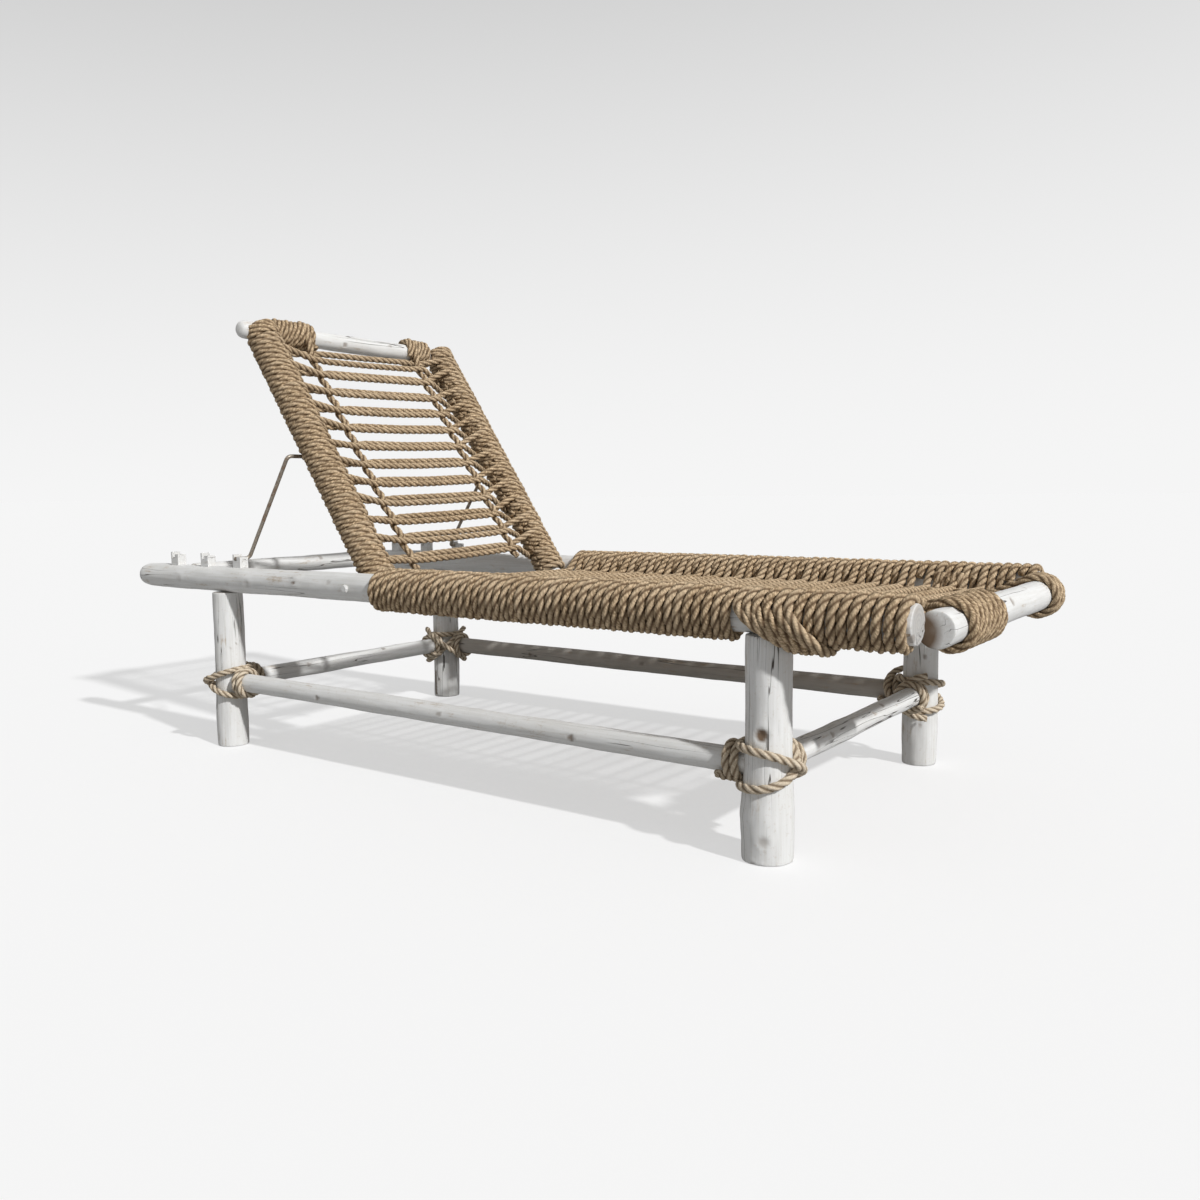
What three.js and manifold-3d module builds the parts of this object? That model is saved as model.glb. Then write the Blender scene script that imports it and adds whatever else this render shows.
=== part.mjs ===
// A rope woven sun lounger on a frame of round poles, with a hinged backrest that two props hold up.
// Millimetres. X runs from the head end to the foot end, Y from the near side to the far side, Z is up.
// The origin is on the floor, below the middle of the whole piece.
import * as THREE from "three";
import { mergeVertices } from "three/addons/utils/BufferGeometryUtils.js";
import Module from "manifold-3d";

const wasm = await Module();
wasm.setup();

// Clearances and shared small sizes
const SEAT_GAP = 0.3; // between two pieces that rest on each other
const RUNNING_GAP = 0.5; // round a piece that turns
const CUT_OVERRUN = 10; // how far a cutting shape runs past what it cuts
const ARRIS = 3; // small chamfer on a sawn pole end

// Side rails, foot rail and rear cross rail
const RAIL_LENGTH = 2000;
const RAIL_DIAMETER = 60;
const RAIL_TRACK = 736; // between the axes of the two side rails
const HEAD_OVERHANG = 340; // side rail behind the rear legs
const FOOT_RAIL_DIAMETER = 58;
const FOOT_RAIL_BEYOND = 15; // axis of the foot rail past the ends of the side rails
const FOOT_RAIL_DROP = 10; // axis of the foot rail below the axes of the side rails
const FOOT_RAIL_END_INSET = 12; // from a side rail axis to the sawn end of the foot rail
const CROSS_RAIL_DIAMETER = 46;
const CROSS_RAIL_RISE = 8; // axis of the cross rail above the axes of the side rails
const CROSS_RAIL_NEAR_OFFSET = 160; // behind the rear leg, at the near rail
const CROSS_RAIL_FAR_OFFSET = 245; // behind the rear leg, at the far rail
const CROSS_TENON_DIAMETER = 22;
const CROSS_TENON_LENGTH = 24;

// Legs and stretchers
const LEG_SPACING = 1420;
const LEG_HEIGHT = 368;
const LEG_DIAMETER = 75;
const LEG_TENON_DIAMETER = 30;
const LEG_TENON_LENGTH = 28;
const STRETCHER_HEIGHT = 155;
const LONG_STRETCHER_DIAMETER = 43;
const CROSS_STRETCHER_DIAMETER = 42;
const STRETCHER_TENON_DIAMETER = 22;
const STRETCHER_TENON_LENGTH = 23;

// Ropes
const ROPE_DIAMETER = 16;
const SEAT_TURN_PITCH = 17.8;
const POLE_TURN_PITCH = 15.9;
const ROPE_GROOVE_SHARE = 0.3; // depth of the groove between two turns, of the rope's diameter

// Seat
const SEAT_REAR_NEAR = 538; // from the rear leg to the first turn on the near rail
const SEAT_REAR_FAR = 500; // from the rear leg to the first turn on the far rail
const SEAT_FRONT_MARGIN = 20; // bare side rail in front of the last turn
const SEAT_EDGE_DROP = 10; // middle of the strands below the top of the side windings, where they meet
const SEAT_STRAND_DROP = 48; // the same between the long cords
const SEAT_NEAR_CORD_INSET = 150; // long cords of the seat, each from the axis of its side rail
const SEAT_FAR_CORD_INSET = 80;
const SEAT_CORD_TAIL = 18; // long cord behind the middle of the rearmost pair
const SEAT_PAIR_TURNS = 3; // turns of a side winding for each pair of strands

// Backrest
const HINGE_OFFSET = 456; // hinge axis in front of the rear legs
const RECLINE_DEGREES = 56.1; // backrest from flat, as it stands
const POLE_DIAMETER = 45;
const POLE_TO_RAIL = 74; // axis of a backrest pole inside the axis of its side rail
const POLE_LENGTH = 684; // hinge axis to the underside of the top rail
const POLE_TAIL = 23; // pole below the hinge axis
const POLE_BARE_FOOT = 16; // from the hinge axis to the first turn on a pole
const TOP_RAIL_DIAMETER = 42;
const TOP_RAIL_SETBACK = 10; // axis of the top rail behind the axes of the poles
const TOP_RAIL_NEAR_OVERHANG = 53;
const TOP_RAIL_FAR_OVERHANG = 43;
const TOP_LAP = 18; // how far a pole's mouth reaches past the near side of the top rail

// Backrest weave
const RUNG_PAIRS = 12;
const RUNG_NEAR_START = 60; // first pair up the near pole
const RUNG_NEAR_TOP_MARGIN = 47; // last pair below the top of the near pole
const RUNG_FAR_START = 74;
const RUNG_FAR_TOP_MARGIN = 34;
const RUNG_SPACING = 17; // between the two strands of a pair
const NEAR_CORD_INSET = 175; // long cords, each from the axis of its side rail
const FAR_CORD_INSET = 195;
const CORD_TAIL = 18; // long cord below the lowest pair
const CORD_RISE_SHARE = 0.55; // how far a strand rises over or sinks under a long cord, of its diameter

// Windings on the foot rail and the top rail, each from the axis of its side rail
const FOOT_WRAP_NEAR_START = 144;
const FOOT_WRAP_NEAR_TURNS = 8;
const FOOT_WRAP_FAR_START = 36;
const FOOT_WRAP_FAR_TURNS = 3;
const TOP_WRAP_NEAR_START = 116;
const TOP_WRAP_NEAR_TURNS = 7;
const TOP_WRAP_FAR_START = 116;
const TOP_WRAP_FAR_TURNS = 5;

// Lashings at the legs
const LASHING_DIAMETER = 14;
const CROSSING_SHARE = 0.2; // stretch of half a turn where the second turn rides over the first
const CROSSING_RAMP_SHARE = 0.25; // stretch of half a turn in which it climbs onto it
const LASHING_BED_SHARE = 0.55; // how far a turn beds into the flats of a leg, of their depth
const COIL_TURNS = 2; // round each stretcher
const COIL_PAUSE_SHARE = 0.5; // part of a turn in which the coil first leaves the leg at double pitch

// Hinge
const BOLT_DIAMETER = 10;
const BOLT_HEAD_DIAMETER = 19;
const BOLT_HEAD_HEIGHT = 7;
const NUT_DIAMETER = 20;
const NUT_THICKNESS = 8;
const SPACER_DIAMETER = 24;

// Props and their rests
const PROP_DIAMETER = 9;
const PROP_ALONG_POLE = 375; // prop eye up the pole from the hinge axis
const PROP_TO_RAIL = 28; // prop inside the side rail axis
const PROP_BEND_RADIUS = 12;
const EYE_WIRE_DIAMETER = 4;
const EYE_SHANK_DIAMETER = 5;
const EYE_SHANK_DEPTH = 17; // shank inside the pole
const PIN_PAST_EYE = 8;
const REST_OFFSETS = [52, -74, -197]; // prop foot from the rear leg: in use, lower, lowest
const REST_WIDTH = 22;
const REST_PRONG_THICKNESS = 5;
const REST_POST_THICKNESS = 13;
const REST_PRONG_HEIGHT = 30; // above the top of the side rail
const REST_POST_HEIGHT = 24;
const REST_NOTCH_HEIGHT = 15;
const REST_SOLE = 6; // the block's foot beside the round of the rail, cut to fit it

// Screws
const SCREW_DIAMETER = 6;
const SCREW_HEAD_DIAMETER = 11;
const SCREW_HEAD_HEIGHT = 3;
const TOP_SCREW_LENGTH = 70;
const FOOT_SCREW_LENGTH = 64;
const FOOT_SCREW_INSET = 7; // from the sawn end of the side rail

// Facets
const POLE_SIDES = 12;
const SMALL_SIDES = 8;
const RAIL_WINDING_SIDES = 7;
const POLE_WINDING_SIDES = 6;
const ROPE_SIDES = 5;
const HEX_SIDES = 6;
const LASHING_SIDES = 5;
const LASHING_STEPS = 24; // along the turns round a leg
const COIL_STEPS = 8; // along one turn round a stretcher
const BEND_STEPS = 3; // along one corner of a prop
const GAP_STEPS = 8; // between two points of a route, where its gap to itself is measured
const GAP_REACH = 3; // rope diameters along a route before it counts as another turn
const MERGE_DISTANCE = 0.0001;

// Hand shaped poles: radius at even steps along the length, as shares of half the diameter
const RAIL_SWELL_SHARES = [0.93, 0.98, 1, 0.97, 0.99, 1, 1, 1, 1, 1];
const LEG_SWELL_SHARES = [0.97, 1, 1, 0.98, 1, 1];
const STRETCHER_SWELL_SHARES = [1, 0.96, 1, 0.94, 0.98, 1];
const PLAIN_SWELL_SHARES = [1, 1];
const POLE_DOME_SHARES = [
  [0, 0],
  [0.5, 0.06],
  [0.84, 0.28],
  [0.97, 0.62],
]; // [radius, length] of a rounded end, of the pole's radius

// Sizes that follow
const railRadius = RAIL_DIAMETER / 2;
const railAxisZ = LEG_HEIGHT + SEAT_GAP + railRadius;
const railSide = RAIL_TRACK / 2;
const railFootX = RAIL_LENGTH - HEAD_OVERHANG;
const sideWindingRadius = railRadius + ROPE_DIAMETER;
const poleWindingRadius = POLE_DIAMETER / 2 + ROPE_DIAMETER;
const recline = THREE.MathUtils.degToRad(RECLINE_DEGREES);
const topRailAlong = POLE_LENGTH + TOP_RAIL_DIAMETER / 2;
const poleSide = railSide - POLE_TO_RAIL;
const eyeRadius = PROP_DIAMETER / 2 + RUNNING_GAP + EYE_WIRE_DIAMETER / 2;
const eyeBehindPole = poleWindingRadius + RUNNING_GAP + eyeRadius + EYE_WIRE_DIAMETER / 2;
const SIDES = [
  { name: "near", sign: -1 },
  { name: "far", sign: 1 },
];
const LEGS = [
  { name: "near_rear_leg", x: 0, sign: -1, inward: 1 },
  { name: "far_rear_leg", x: 0, sign: 1, inward: 1 },
  { name: "near_front_leg", x: LEG_SPACING, sign: -1, inward: -1 },
  { name: "far_front_leg", x: LEG_SPACING, sign: 1, inward: -1 },
];

const paint = () => new THREE.MeshStandardMaterial({ color: 0xeeedea, roughness: 0.62, metalness: 0 });
const rope = () => new THREE.MeshStandardMaterial({ color: 0xb79a72, roughness: 0.95, metalness: 0 });
const paleRope = () => new THREE.MeshStandardMaterial({ color: 0xc9b493, roughness: 0.95, metalness: 0 });
const steel = () => new THREE.MeshStandardMaterial({ color: 0x8a8378, roughness: 0.5, metalness: 0.8 });

// Joining and cutting

// The closed solid of a geometry, with its faces pointing out.
function solid(geometry) {
  const bare = geometry.clone();
  bare.deleteAttribute("normal");
  bare.deleteAttribute("uv");
  const merged = mergeVertices(bare, MERGE_DISTANCE);
  const triVerts = new Uint32Array(merged.index.array);
  const vertProperties = new Float32Array(merged.attributes.position.array);
  return new wasm.Manifold(new wasm.Mesh({ numProp: 3, vertProperties, triVerts }));
}

// The geometry of a solid, with flat shaded faces.
function geometryOf(manifold) {
  const mesh = manifold.getMesh();
  const geometry = new THREE.BufferGeometry();
  geometry.setAttribute("position", new THREE.BufferAttribute(new Float32Array(mesh.vertProperties), 3));
  geometry.setIndex(new THREE.BufferAttribute(new Uint32Array(mesh.triVerts), 1));
  const flat = geometry.toNonIndexed();
  flat.computeVertexNormals();
  return flat;
}

const cut = (base, ...tools) =>
  geometryOf(tools.reduce((left, tool) => left.subtract(solid(tool)), solid(base)));
const join = (base, ...others) =>
  geometryOf(others.reduce((left, other) => left.add(solid(other)), solid(base)));

// Shapes

// Turns a shape that stands on the origin along +Y, so that it runs from one point to another.
function between(geometry, from, to) {
  const direction = to.clone().sub(from).normalize();
  const turn = new THREE.Quaternion().setFromUnitVectors(new THREE.Vector3(0, 1, 0), direction);
  return geometry.applyQuaternion(turn).translate(from.x, from.y, from.z);
}

// A round pole along +Y: its radius follows the swell shares, and its start may be domed.
function pole(length, diameter, swellShares, { grow = 0, domeStart = false, sides = POLE_SIDES } = {}) {
  const radius = diameter / 2;
  const ease = Math.min(ARRIS, radius / 2);
  const start = domeStart
    ? POLE_DOME_SHARES.map(([r, y]) => new THREE.Vector2(r * radius * swellShares[0], y * radius))
    : [new THREE.Vector2(0, -grow), new THREE.Vector2(radius * swellShares[0] - ease + grow, -grow)];
  const bodyStart = domeStart ? radius : ease;
  const bodyEnd = length - ease;
  const last = swellShares.length - 1;
  const body = swellShares.map(
    (share, i) => new THREE.Vector2(radius * share + grow, bodyStart + ((bodyEnd - bodyStart) * i) / last),
  );
  const end = [
    new THREE.Vector2(radius * swellShares[last] - ease + grow, length + grow),
    new THREE.Vector2(0, length + grow),
  ];
  return new THREE.LatheGeometry([...start, ...body, ...end], sides);
}

// A plain round bar between two points.
function bar(from, to, diameter, sides = SMALL_SIDES) {
  const length = from.distanceTo(to);
  const radius = diameter / 2;
  const profile = [
    new THREE.Vector2(0, 0),
    new THREE.Vector2(radius, 0),
    new THREE.Vector2(radius, length),
    new THREE.Vector2(0, length),
  ];
  return between(new THREE.LatheGeometry(profile, sides), from, to);
}

// A box between two corners.
function block(low, high) {
  const size = high.clone().sub(low);
  const middle = low.clone().add(high).multiplyScalar(1 / 2);
  return new THREE.BoxGeometry(size.x, size.y, size.z).translate(middle.x, middle.y, middle.z);
}

// A route through given points, which an extrusion follows point by point.
class Route extends THREE.Curve {
  constructor(points) {
    super();
    this.points = points;
  }

  getPoint(t, target = new THREE.Vector3()) {
    const last = this.points.length - 1;
    const at = Math.min(Math.max(t, 0), 1) * last;
    const i = Math.min(Math.floor(at), last - 1);
    return target.copy(this.points[i]).lerp(this.points[i + 1], at - i);
  }

  getPointAt(u, target) {
    return this.getPoint(u, target);
  }

  getTangentAt(u, target = new THREE.Vector3()) {
    const last = this.points.length - 1;
    const i = Math.round(u * last);
    const before = this.points[Math.max(i - 1, 0)];
    const after = this.points[Math.min(i + 1, last)];
    return target.copy(after).sub(before).normalize();
  }
}

// A round tube along a list of points.
function tube(points, diameter, sides) {
  const section = new THREE.Shape();
  for (let i = 0; i < sides; i += 1) {
    const angle = (2 * Math.PI * i) / sides;
    const x = (diameter / 2) * Math.cos(angle);
    const y = (diameter / 2) * Math.sin(angle);
    if (i === 0) section.moveTo(x, y);
    else section.lineTo(x, y);
  }
  section.closePath();
  const route = new Route(points);
  return new THREE.ExtrudeGeometry(section, {
    steps: points.length - 1,
    extrudePath: route,
    bevelEnabled: false,
  });
}

// Least distance between the surface of a tube and itself, measured on points along its middle.
function leastGap(name, points, diameter) {
  const fine = [];
  for (let i = 0; i + 1 < points.length; i += 1)
    for (let k = 0; k < GAP_STEPS; k += 1)
      fine.push(points[i].clone().lerp(points[i + 1], k / GAP_STEPS));
  const along = [0];
  for (let i = 1; i < fine.length; i += 1) along.push(along[i - 1] + fine[i].distanceTo(fine[i - 1]));
  let least = Infinity;
  for (let i = 0; i < fine.length; i += 1)
    for (let j = i + 1; j < fine.length; j += 1)
      if (along[j] - along[i] > diameter * GAP_REACH)
        least = Math.min(least, fine[i].distanceTo(fine[j]) - diameter);
  console.log(`${name}: least gap to itself ${least.toFixed(2)} mm`);
}

// Rings of points, joined in order and back to the first, as one closed skin.
function ringSkin(rings) {
  const sides = rings[0].length;
  const position = rings.flat().flatMap((p) => [p.x, p.y, p.z]);
  const index = [];
  rings.forEach((_, r) => {
    const here = r * sides;
    const next = ((r + 1) % rings.length) * sides;
    for (let i = 0; i < sides; i += 1) {
      const j = (i + 1) % sides;
      index.push(here + i, next + j, next + i, here + i, here + j, next + j);
    }
  });
  const geometry = new THREE.BufferGeometry();
  geometry.setAttribute("position", new THREE.Float32BufferAttribute(position, 3));
  geometry.setIndex(index);
  return geometry;
}

// Joins the sections of a bar into one closed skin with flat ends.
function sectionSkin(sections) {
  const sides = sections[0].length;
  const position = sections.flat().flatMap((p) => [p.x, p.y, p.z]);
  const index = [];
  for (let s = 0; s + 1 < sections.length; s += 1)
    for (let i = 0; i < sides; i += 1) {
      const j = (i + 1) % sides;
      const here = s * sides;
      const next = here + sides;
      index.push(here + i, next + j, next + i, here + i, here + j, next + j);
    }
  const end = (sections.length - 1) * sides;
  for (let i = 1; i + 1 < sides; i += 1) {
    index.push(0, i + 1, i);
    index.push(end, end + i, end + i + 1);
  }
  const geometry = new THREE.BufferGeometry();
  geometry.setAttribute("position", new THREE.Float32BufferAttribute(position, 3));
  geometry.setIndex(index);
  return geometry;
}

// A winding of rope turns round a pole, along +Y: a rib for each turn outside, a plain bore inside.
function winding(turns, pitch, core, ropeDiameter, sides) {
  const bore = (core / 2 + SEAT_GAP) / Math.cos(Math.PI / sides);
  const crest = core / 2 + ropeDiameter;
  const root = crest - ropeDiameter * ROPE_GROOVE_SHARE;
  const ring = (radius, y) =>
    Array.from({ length: sides }, (_, i) => {
      const angle = (2 * Math.PI * (i + 1 / 2)) / sides;
      return new THREE.Vector3(radius * Math.sin(angle), y, radius * Math.cos(angle));
    });
  const rings = [ring(root, 0)];
  for (let turn = 0; turn < turns; turn += 1) {
    rings.push(ring(crest, (turn + 1 / 2) * pitch));
    rings.push(ring(root, (turn + 1) * pitch));
  }
  rings.push(ring(bore, turns * pitch), ring(bore, 0));
  return ringSkin(rings);
}

// The lounger

const lounger = new THREE.Group();
const backrest = new THREE.Group();
backrest.position.set(HINGE_OFFSET, 0, railAxisZ);
backrest.rotation.y = recline;
lounger.add(backrest);

function add(group, name, geometry, material) {
  const mesh = new THREE.Mesh(geometry, material);
  mesh.name = name;
  group.add(mesh);
}

const v = (x, y, z) => new THREE.Vector3(x, y, z);

// Places along the two side rails
const railStart = (sign) => v(-HEAD_OVERHANG, sign * railSide, railAxisZ);
const railEnd = (sign) => v(railFootX, sign * railSide, railAxisZ);
const sideRail = (sign, grow) =>
  between(
    pole(RAIL_LENGTH, RAIL_DIAMETER, RAIL_SWELL_SHARES, { domeStart: !grow, grow }),
    railStart(sign),
    railEnd(sign),
  );

// A tenon and the bore that takes it
const tenon = (from, to, diameter, grow = 0) => {
  const stretch = to.clone().sub(from).normalize().multiplyScalar(grow);
  return bar(from, to.clone().add(stretch), diameter + 2 * grow);
};

// Legs: a round post with a tenon into the rail, and mortises for two stretchers
const legPost = (leg, grow = 0) =>
  between(
    pole(LEG_HEIGHT, LEG_DIAMETER, LEG_SWELL_SHARES, { grow }),
    v(leg.x, leg.sign * railSide, 0),
    v(leg.x, leg.sign * railSide, LEG_HEIGHT),
  );
const legTenon = (leg, grow = 0) =>
  tenon(
    v(leg.x, leg.sign * railSide, LEG_HEIGHT - CUT_OVERRUN),
    v(leg.x, leg.sign * railSide, LEG_HEIGHT + LEG_TENON_LENGTH),
    LEG_TENON_DIAMETER,
    grow,
  );
const tenonReach = LEG_DIAMETER / 2 - STRETCHER_TENON_LENGTH;

// A stretcher between two leg axes: the pole, coped to the legs, with a tenon at each end
function stretcher(from, to, diameter, legs) {
  const direction = to.clone().sub(from).normalize();
  const body = cut(
    between(pole(from.distanceTo(to), diameter, STRETCHER_SWELL_SHARES), from, to),
    ...legs.map((leg) => legPost(leg, SEAT_GAP)),
  );
  const parts = solid(body).decompose();
  const middle = parts.reduce((best, part) => (part.volume() > best.volume() ? part : best));
  const reach = direction.clone().multiplyScalar(tenonReach);
  const root = direction.clone().multiplyScalar(LEG_DIAMETER / 2 + CUT_OVERRUN);
  return join(
    geometryOf(middle),
    tenon(from.clone().add(root), from.clone().add(reach), STRETCHER_TENON_DIAMETER),
    tenon(to.clone().sub(root), to.clone().sub(reach), STRETCHER_TENON_DIAMETER),
  );
}

// The bores in one leg for the tenons of the stretchers that meet in it
function stretcherBores(leg) {
  const middle = v(leg.x, leg.sign * railSide, STRETCHER_HEIGHT);
  return [v(leg.inward, 0, 0), v(0, -leg.sign, 0)].map((way) => {
    const outside = middle.clone().addScaledVector(way, LEG_DIAMETER / 2 + CUT_OVERRUN);
    const inside = middle.clone().addScaledVector(way, tenonReach);
    return tenon(outside, inside, STRETCHER_TENON_DIAMETER, SEAT_GAP);
  });
}

for (const leg of LEGS) {
  const post = join(legPost(leg), legTenon(leg));
  add(lounger, leg.name, cut(post, ...stretcherBores(leg)), paint());
}

const legAt = (name) => LEGS.find((leg) => leg.name === name);
const stretcherEnd = (name) => v(legAt(name).x, legAt(name).sign * railSide, STRETCHER_HEIGHT);
const STRETCHERS = [
  ["near_long_stretcher", "near_rear_leg", "near_front_leg", LONG_STRETCHER_DIAMETER],
  ["far_long_stretcher", "far_rear_leg", "far_front_leg", LONG_STRETCHER_DIAMETER],
  ["rear_stretcher", "near_rear_leg", "far_rear_leg", CROSS_STRETCHER_DIAMETER],
  ["front_stretcher", "near_front_leg", "far_front_leg", CROSS_STRETCHER_DIAMETER],
];
for (const [name, from, to, diameter] of STRETCHERS) {
  const geometry = stretcher(stretcherEnd(from), stretcherEnd(to), diameter, [legAt(from), legAt(to)]);
  add(lounger, name, geometry, paint());
}

// Rear cross rail: skewed, coped to both side rails, with a tenon in each
const crossZ = railAxisZ + CROSS_RAIL_RISE;
const crossNear = v(-CROSS_RAIL_NEAR_OFFSET, -railSide, crossZ);
const crossFar = v(-CROSS_RAIL_FAR_OFFSET, railSide, crossZ);
const crossWay = crossFar.clone().sub(crossNear).normalize();
const crossTenons = (grow = 0) =>
  [
    [crossNear, 1],
    [crossFar, -1],
  ].map(([end, sign]) => {
    const root = end.clone().addScaledVector(crossWay, sign * (railRadius + CUT_OVERRUN));
    const tip = end.clone().addScaledVector(crossWay, sign * (railRadius - CROSS_TENON_LENGTH));
    return tenon(root, tip, CROSS_TENON_DIAMETER, grow);
  });
const crossLength = crossNear.distanceTo(crossFar);
const crossPole = between(
  pole(crossLength, CROSS_RAIL_DIAMETER, STRETCHER_SWELL_SHARES),
  crossNear,
  crossFar,
);
const crossSlab = (sign) =>
  block(
    v(-HEAD_OVERHANG, sign * railSide - railRadius, 0),
    v(0, sign * railSide + railRadius, railAxisZ + RAIL_DIAMETER),
  );
const crossBody = cut(
  crossPole,
  ...SIDES.map(({ sign }) => sideRail(sign, SEAT_GAP)),
  ...SIDES.map(({ sign }) => crossSlab(sign).translate(0, sign * railRadius, 0)),
);
add(lounger, "rear_cross_rail", join(crossBody, ...crossTenons()), paint());

// Foot rail: across the ends of the side rails, coped to them and screwed through them
const footX = railFootX + FOOT_RAIL_BEYOND;
const footZ = railAxisZ - FOOT_RAIL_DROP;
const footReach = railSide - FOOT_RAIL_END_INSET;
const screwX = railFootX - FOOT_SCREW_INSET;
const footScrew = (sign, grow = 0) => {
  const head = v(screwX, sign * (railSide + railRadius), footZ);
  const tip = v(screwX, sign * (railSide + railRadius - FOOT_SCREW_LENGTH), footZ);
  const collar = v(screwX, sign * (railSide + railRadius - SCREW_HEAD_HEIGHT), footZ);
  const outer = v(screwX, sign * (railSide + railRadius + (grow ? CUT_OVERRUN : 0)), footZ);
  return [tenon(head, tip, SCREW_DIAMETER, grow), tenon(outer, collar, SCREW_HEAD_DIAMETER, grow)];
};
const railBeyond = (sign) =>
  bar(
    v(railFootX - FOOT_RAIL_DIAMETER, sign * railSide, railAxisZ),
    v(footX + FOOT_RAIL_DIAMETER, sign * railSide, railAxisZ),
    RAIL_DIAMETER + 2 * SEAT_GAP,
    POLE_SIDES,
  );
const footPole = between(
  pole(2 * footReach, FOOT_RAIL_DIAMETER, PLAIN_SWELL_SHARES),
  v(footX, -footReach, footZ),
  v(footX, footReach, footZ),
);
add(
  lounger,
  "foot_rail",
  cut(
    footPole,
    ...SIDES.map(({ sign }) => railBeyond(sign)),
    ...SIDES.flatMap(({ sign }) => footScrew(sign, SEAT_GAP)),
  ),
  paint(),
);
for (const { name, sign } of SIDES) {
  add(lounger, `${name}_foot_rail_screw`, join(...footScrew(sign)), steel());
}

// Hinge: a bolt through each side rail and its backrest pole, with a spacer and a nut
const boltHead = -(railSide + railRadius + SEAT_GAP);
const poleInside = railSide - POLE_TO_RAIL - POLE_DIAMETER / 2;
for (const { name, sign } of SIDES) {
  const at = (y) => v(HINGE_OFFSET, -sign * y, railAxisZ);
  const nutOuter = -(poleInside - RUNNING_GAP);
  const shankEnd = nutOuter + NUT_THICKNESS;
  const head = between(
    pole(BOLT_HEAD_HEIGHT, BOLT_HEAD_DIAMETER, PLAIN_SWELL_SHARES, { sides: SMALL_SIDES }),
    at(boltHead),
    at(boltHead - BOLT_HEAD_HEIGHT),
  );
  const shank = bar(at(boltHead - SEAT_GAP), at(shankEnd), BOLT_DIAMETER);
  const nut = bar(at(nutOuter), at(shankEnd), NUT_DIAMETER, HEX_SIDES);
  add(lounger, `${name}_hinge_bolt`, join(head, shank, nut), paint());
  const spacerOuter = -(railSide - railRadius - SEAT_GAP);
  const spacerInner = -(railSide - POLE_TO_RAIL + POLE_DIAMETER / 2 + SEAT_GAP);
  const spacer = bar(at(spacerOuter), at(spacerInner), SPACER_DIAMETER);
  const spacerBore = bar(
    at(spacerOuter - CUT_OVERRUN),
    at(spacerInner + CUT_OVERRUN),
    BOLT_DIAMETER + 2 * RUNNING_GAP,
  );
  add(lounger, `${name}_hinge_spacer`, cut(spacer, spacerBore), steel());
}

// Side rails, bored for the legs, the cross rail, the hinge bolts and the foot rail screws
for (const { name, sign } of SIDES) {
  const boltBore = bar(
    v(HINGE_OFFSET, sign * (railSide + RAIL_DIAMETER), railAxisZ),
    v(HINGE_OFFSET, sign * (railSide - RAIL_DIAMETER), railAxisZ),
    BOLT_DIAMETER + 2 * SEAT_GAP,
  );
  const legTenons = LEGS.filter((leg) => leg.sign === sign).map((leg) => legTenon(leg, SEAT_GAP));
  const geometry = cut(
    sideRail(sign, 0),
    ...legTenons,
    crossTenons(SEAT_GAP)[sign < 0 ? 0 : 1],
    boltBore,
    ...footScrew(sign, SEAT_GAP),
  );
  add(lounger, `${name}_side_rail`, geometry, paint());
}

// Prop rests: three notched blocks on each side rail, sat on its round top
const restBase = railAxisZ + railRadius;
const restProfile = (seatX) => {
  const half = PROP_DIAMETER / 2 + RUNNING_GAP;
  const rear = seatX - half - REST_PRONG_THICKNESS;
  const front = seatX + half + REST_POST_THICKNESS;
  const outline = new THREE.Shape();
  outline.moveTo(rear, restBase - REST_SOLE);
  outline.lineTo(front, restBase - REST_SOLE);
  outline.lineTo(front, restBase + REST_POST_HEIGHT);
  outline.lineTo(seatX + half, restBase + REST_POST_HEIGHT);
  outline.lineTo(seatX + half, restBase + REST_NOTCH_HEIGHT);
  outline.lineTo(seatX - half, restBase + REST_NOTCH_HEIGHT);
  outline.lineTo(seatX - half, restBase + REST_PRONG_HEIGHT);
  outline.lineTo(rear, restBase + REST_PRONG_HEIGHT);
  outline.closePath();
  const extruded = new THREE.ExtrudeGeometry(outline, { depth: REST_WIDTH, bevelEnabled: false });
  return extruded.rotateX(Math.PI / 2).translate(0, REST_WIDTH / 2, 0);
};
for (const { name, sign } of SIDES)
  REST_OFFSETS.forEach((seatX, i) => {
    const notched = restProfile(seatX).translate(0, sign * railSide, 0);
    add(lounger, `${name}_prop_rest_${i + 1}`, cut(notched, sideRail(sign, SEAT_GAP)), paint());
  });

// Seat: a winding on each side rail, parted round the front leg, and the strands between them
const nearTurns = Math.floor((railFootX - SEAT_FRONT_MARGIN - SEAT_REAR_NEAR) / SEAT_TURN_PITCH);
const seatFrontX = SEAT_REAR_NEAR + nearTurns * SEAT_TURN_PITCH;
const farPitch = (seatFrontX - SEAT_REAR_FAR) / nearTurns;
const seatStart = { near: SEAT_REAR_NEAR, far: SEAT_REAR_FAR };
for (const { name, sign } of SIDES) {
  const pitch = name === "near" ? SEAT_TURN_PITCH : farPitch;
  const skin = winding(nearTurns, pitch, RAIL_DIAMETER, ROPE_DIAMETER, RAIL_WINDING_SIDES);
  const placed = between(
    skin,
    v(seatStart[name], sign * railSide, railAxisZ),
    v(seatFrontX, sign * railSide, railAxisZ),
  );
  const frontLeg = legAt(`${name}_front_leg`);
  const parted = cut(placed, legPost(frontLeg, SEAT_GAP), legTenon(frontLeg, SEAT_GAP));
  add(lounger, `${name}_seat_winding`, parted, rope());
}

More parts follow.
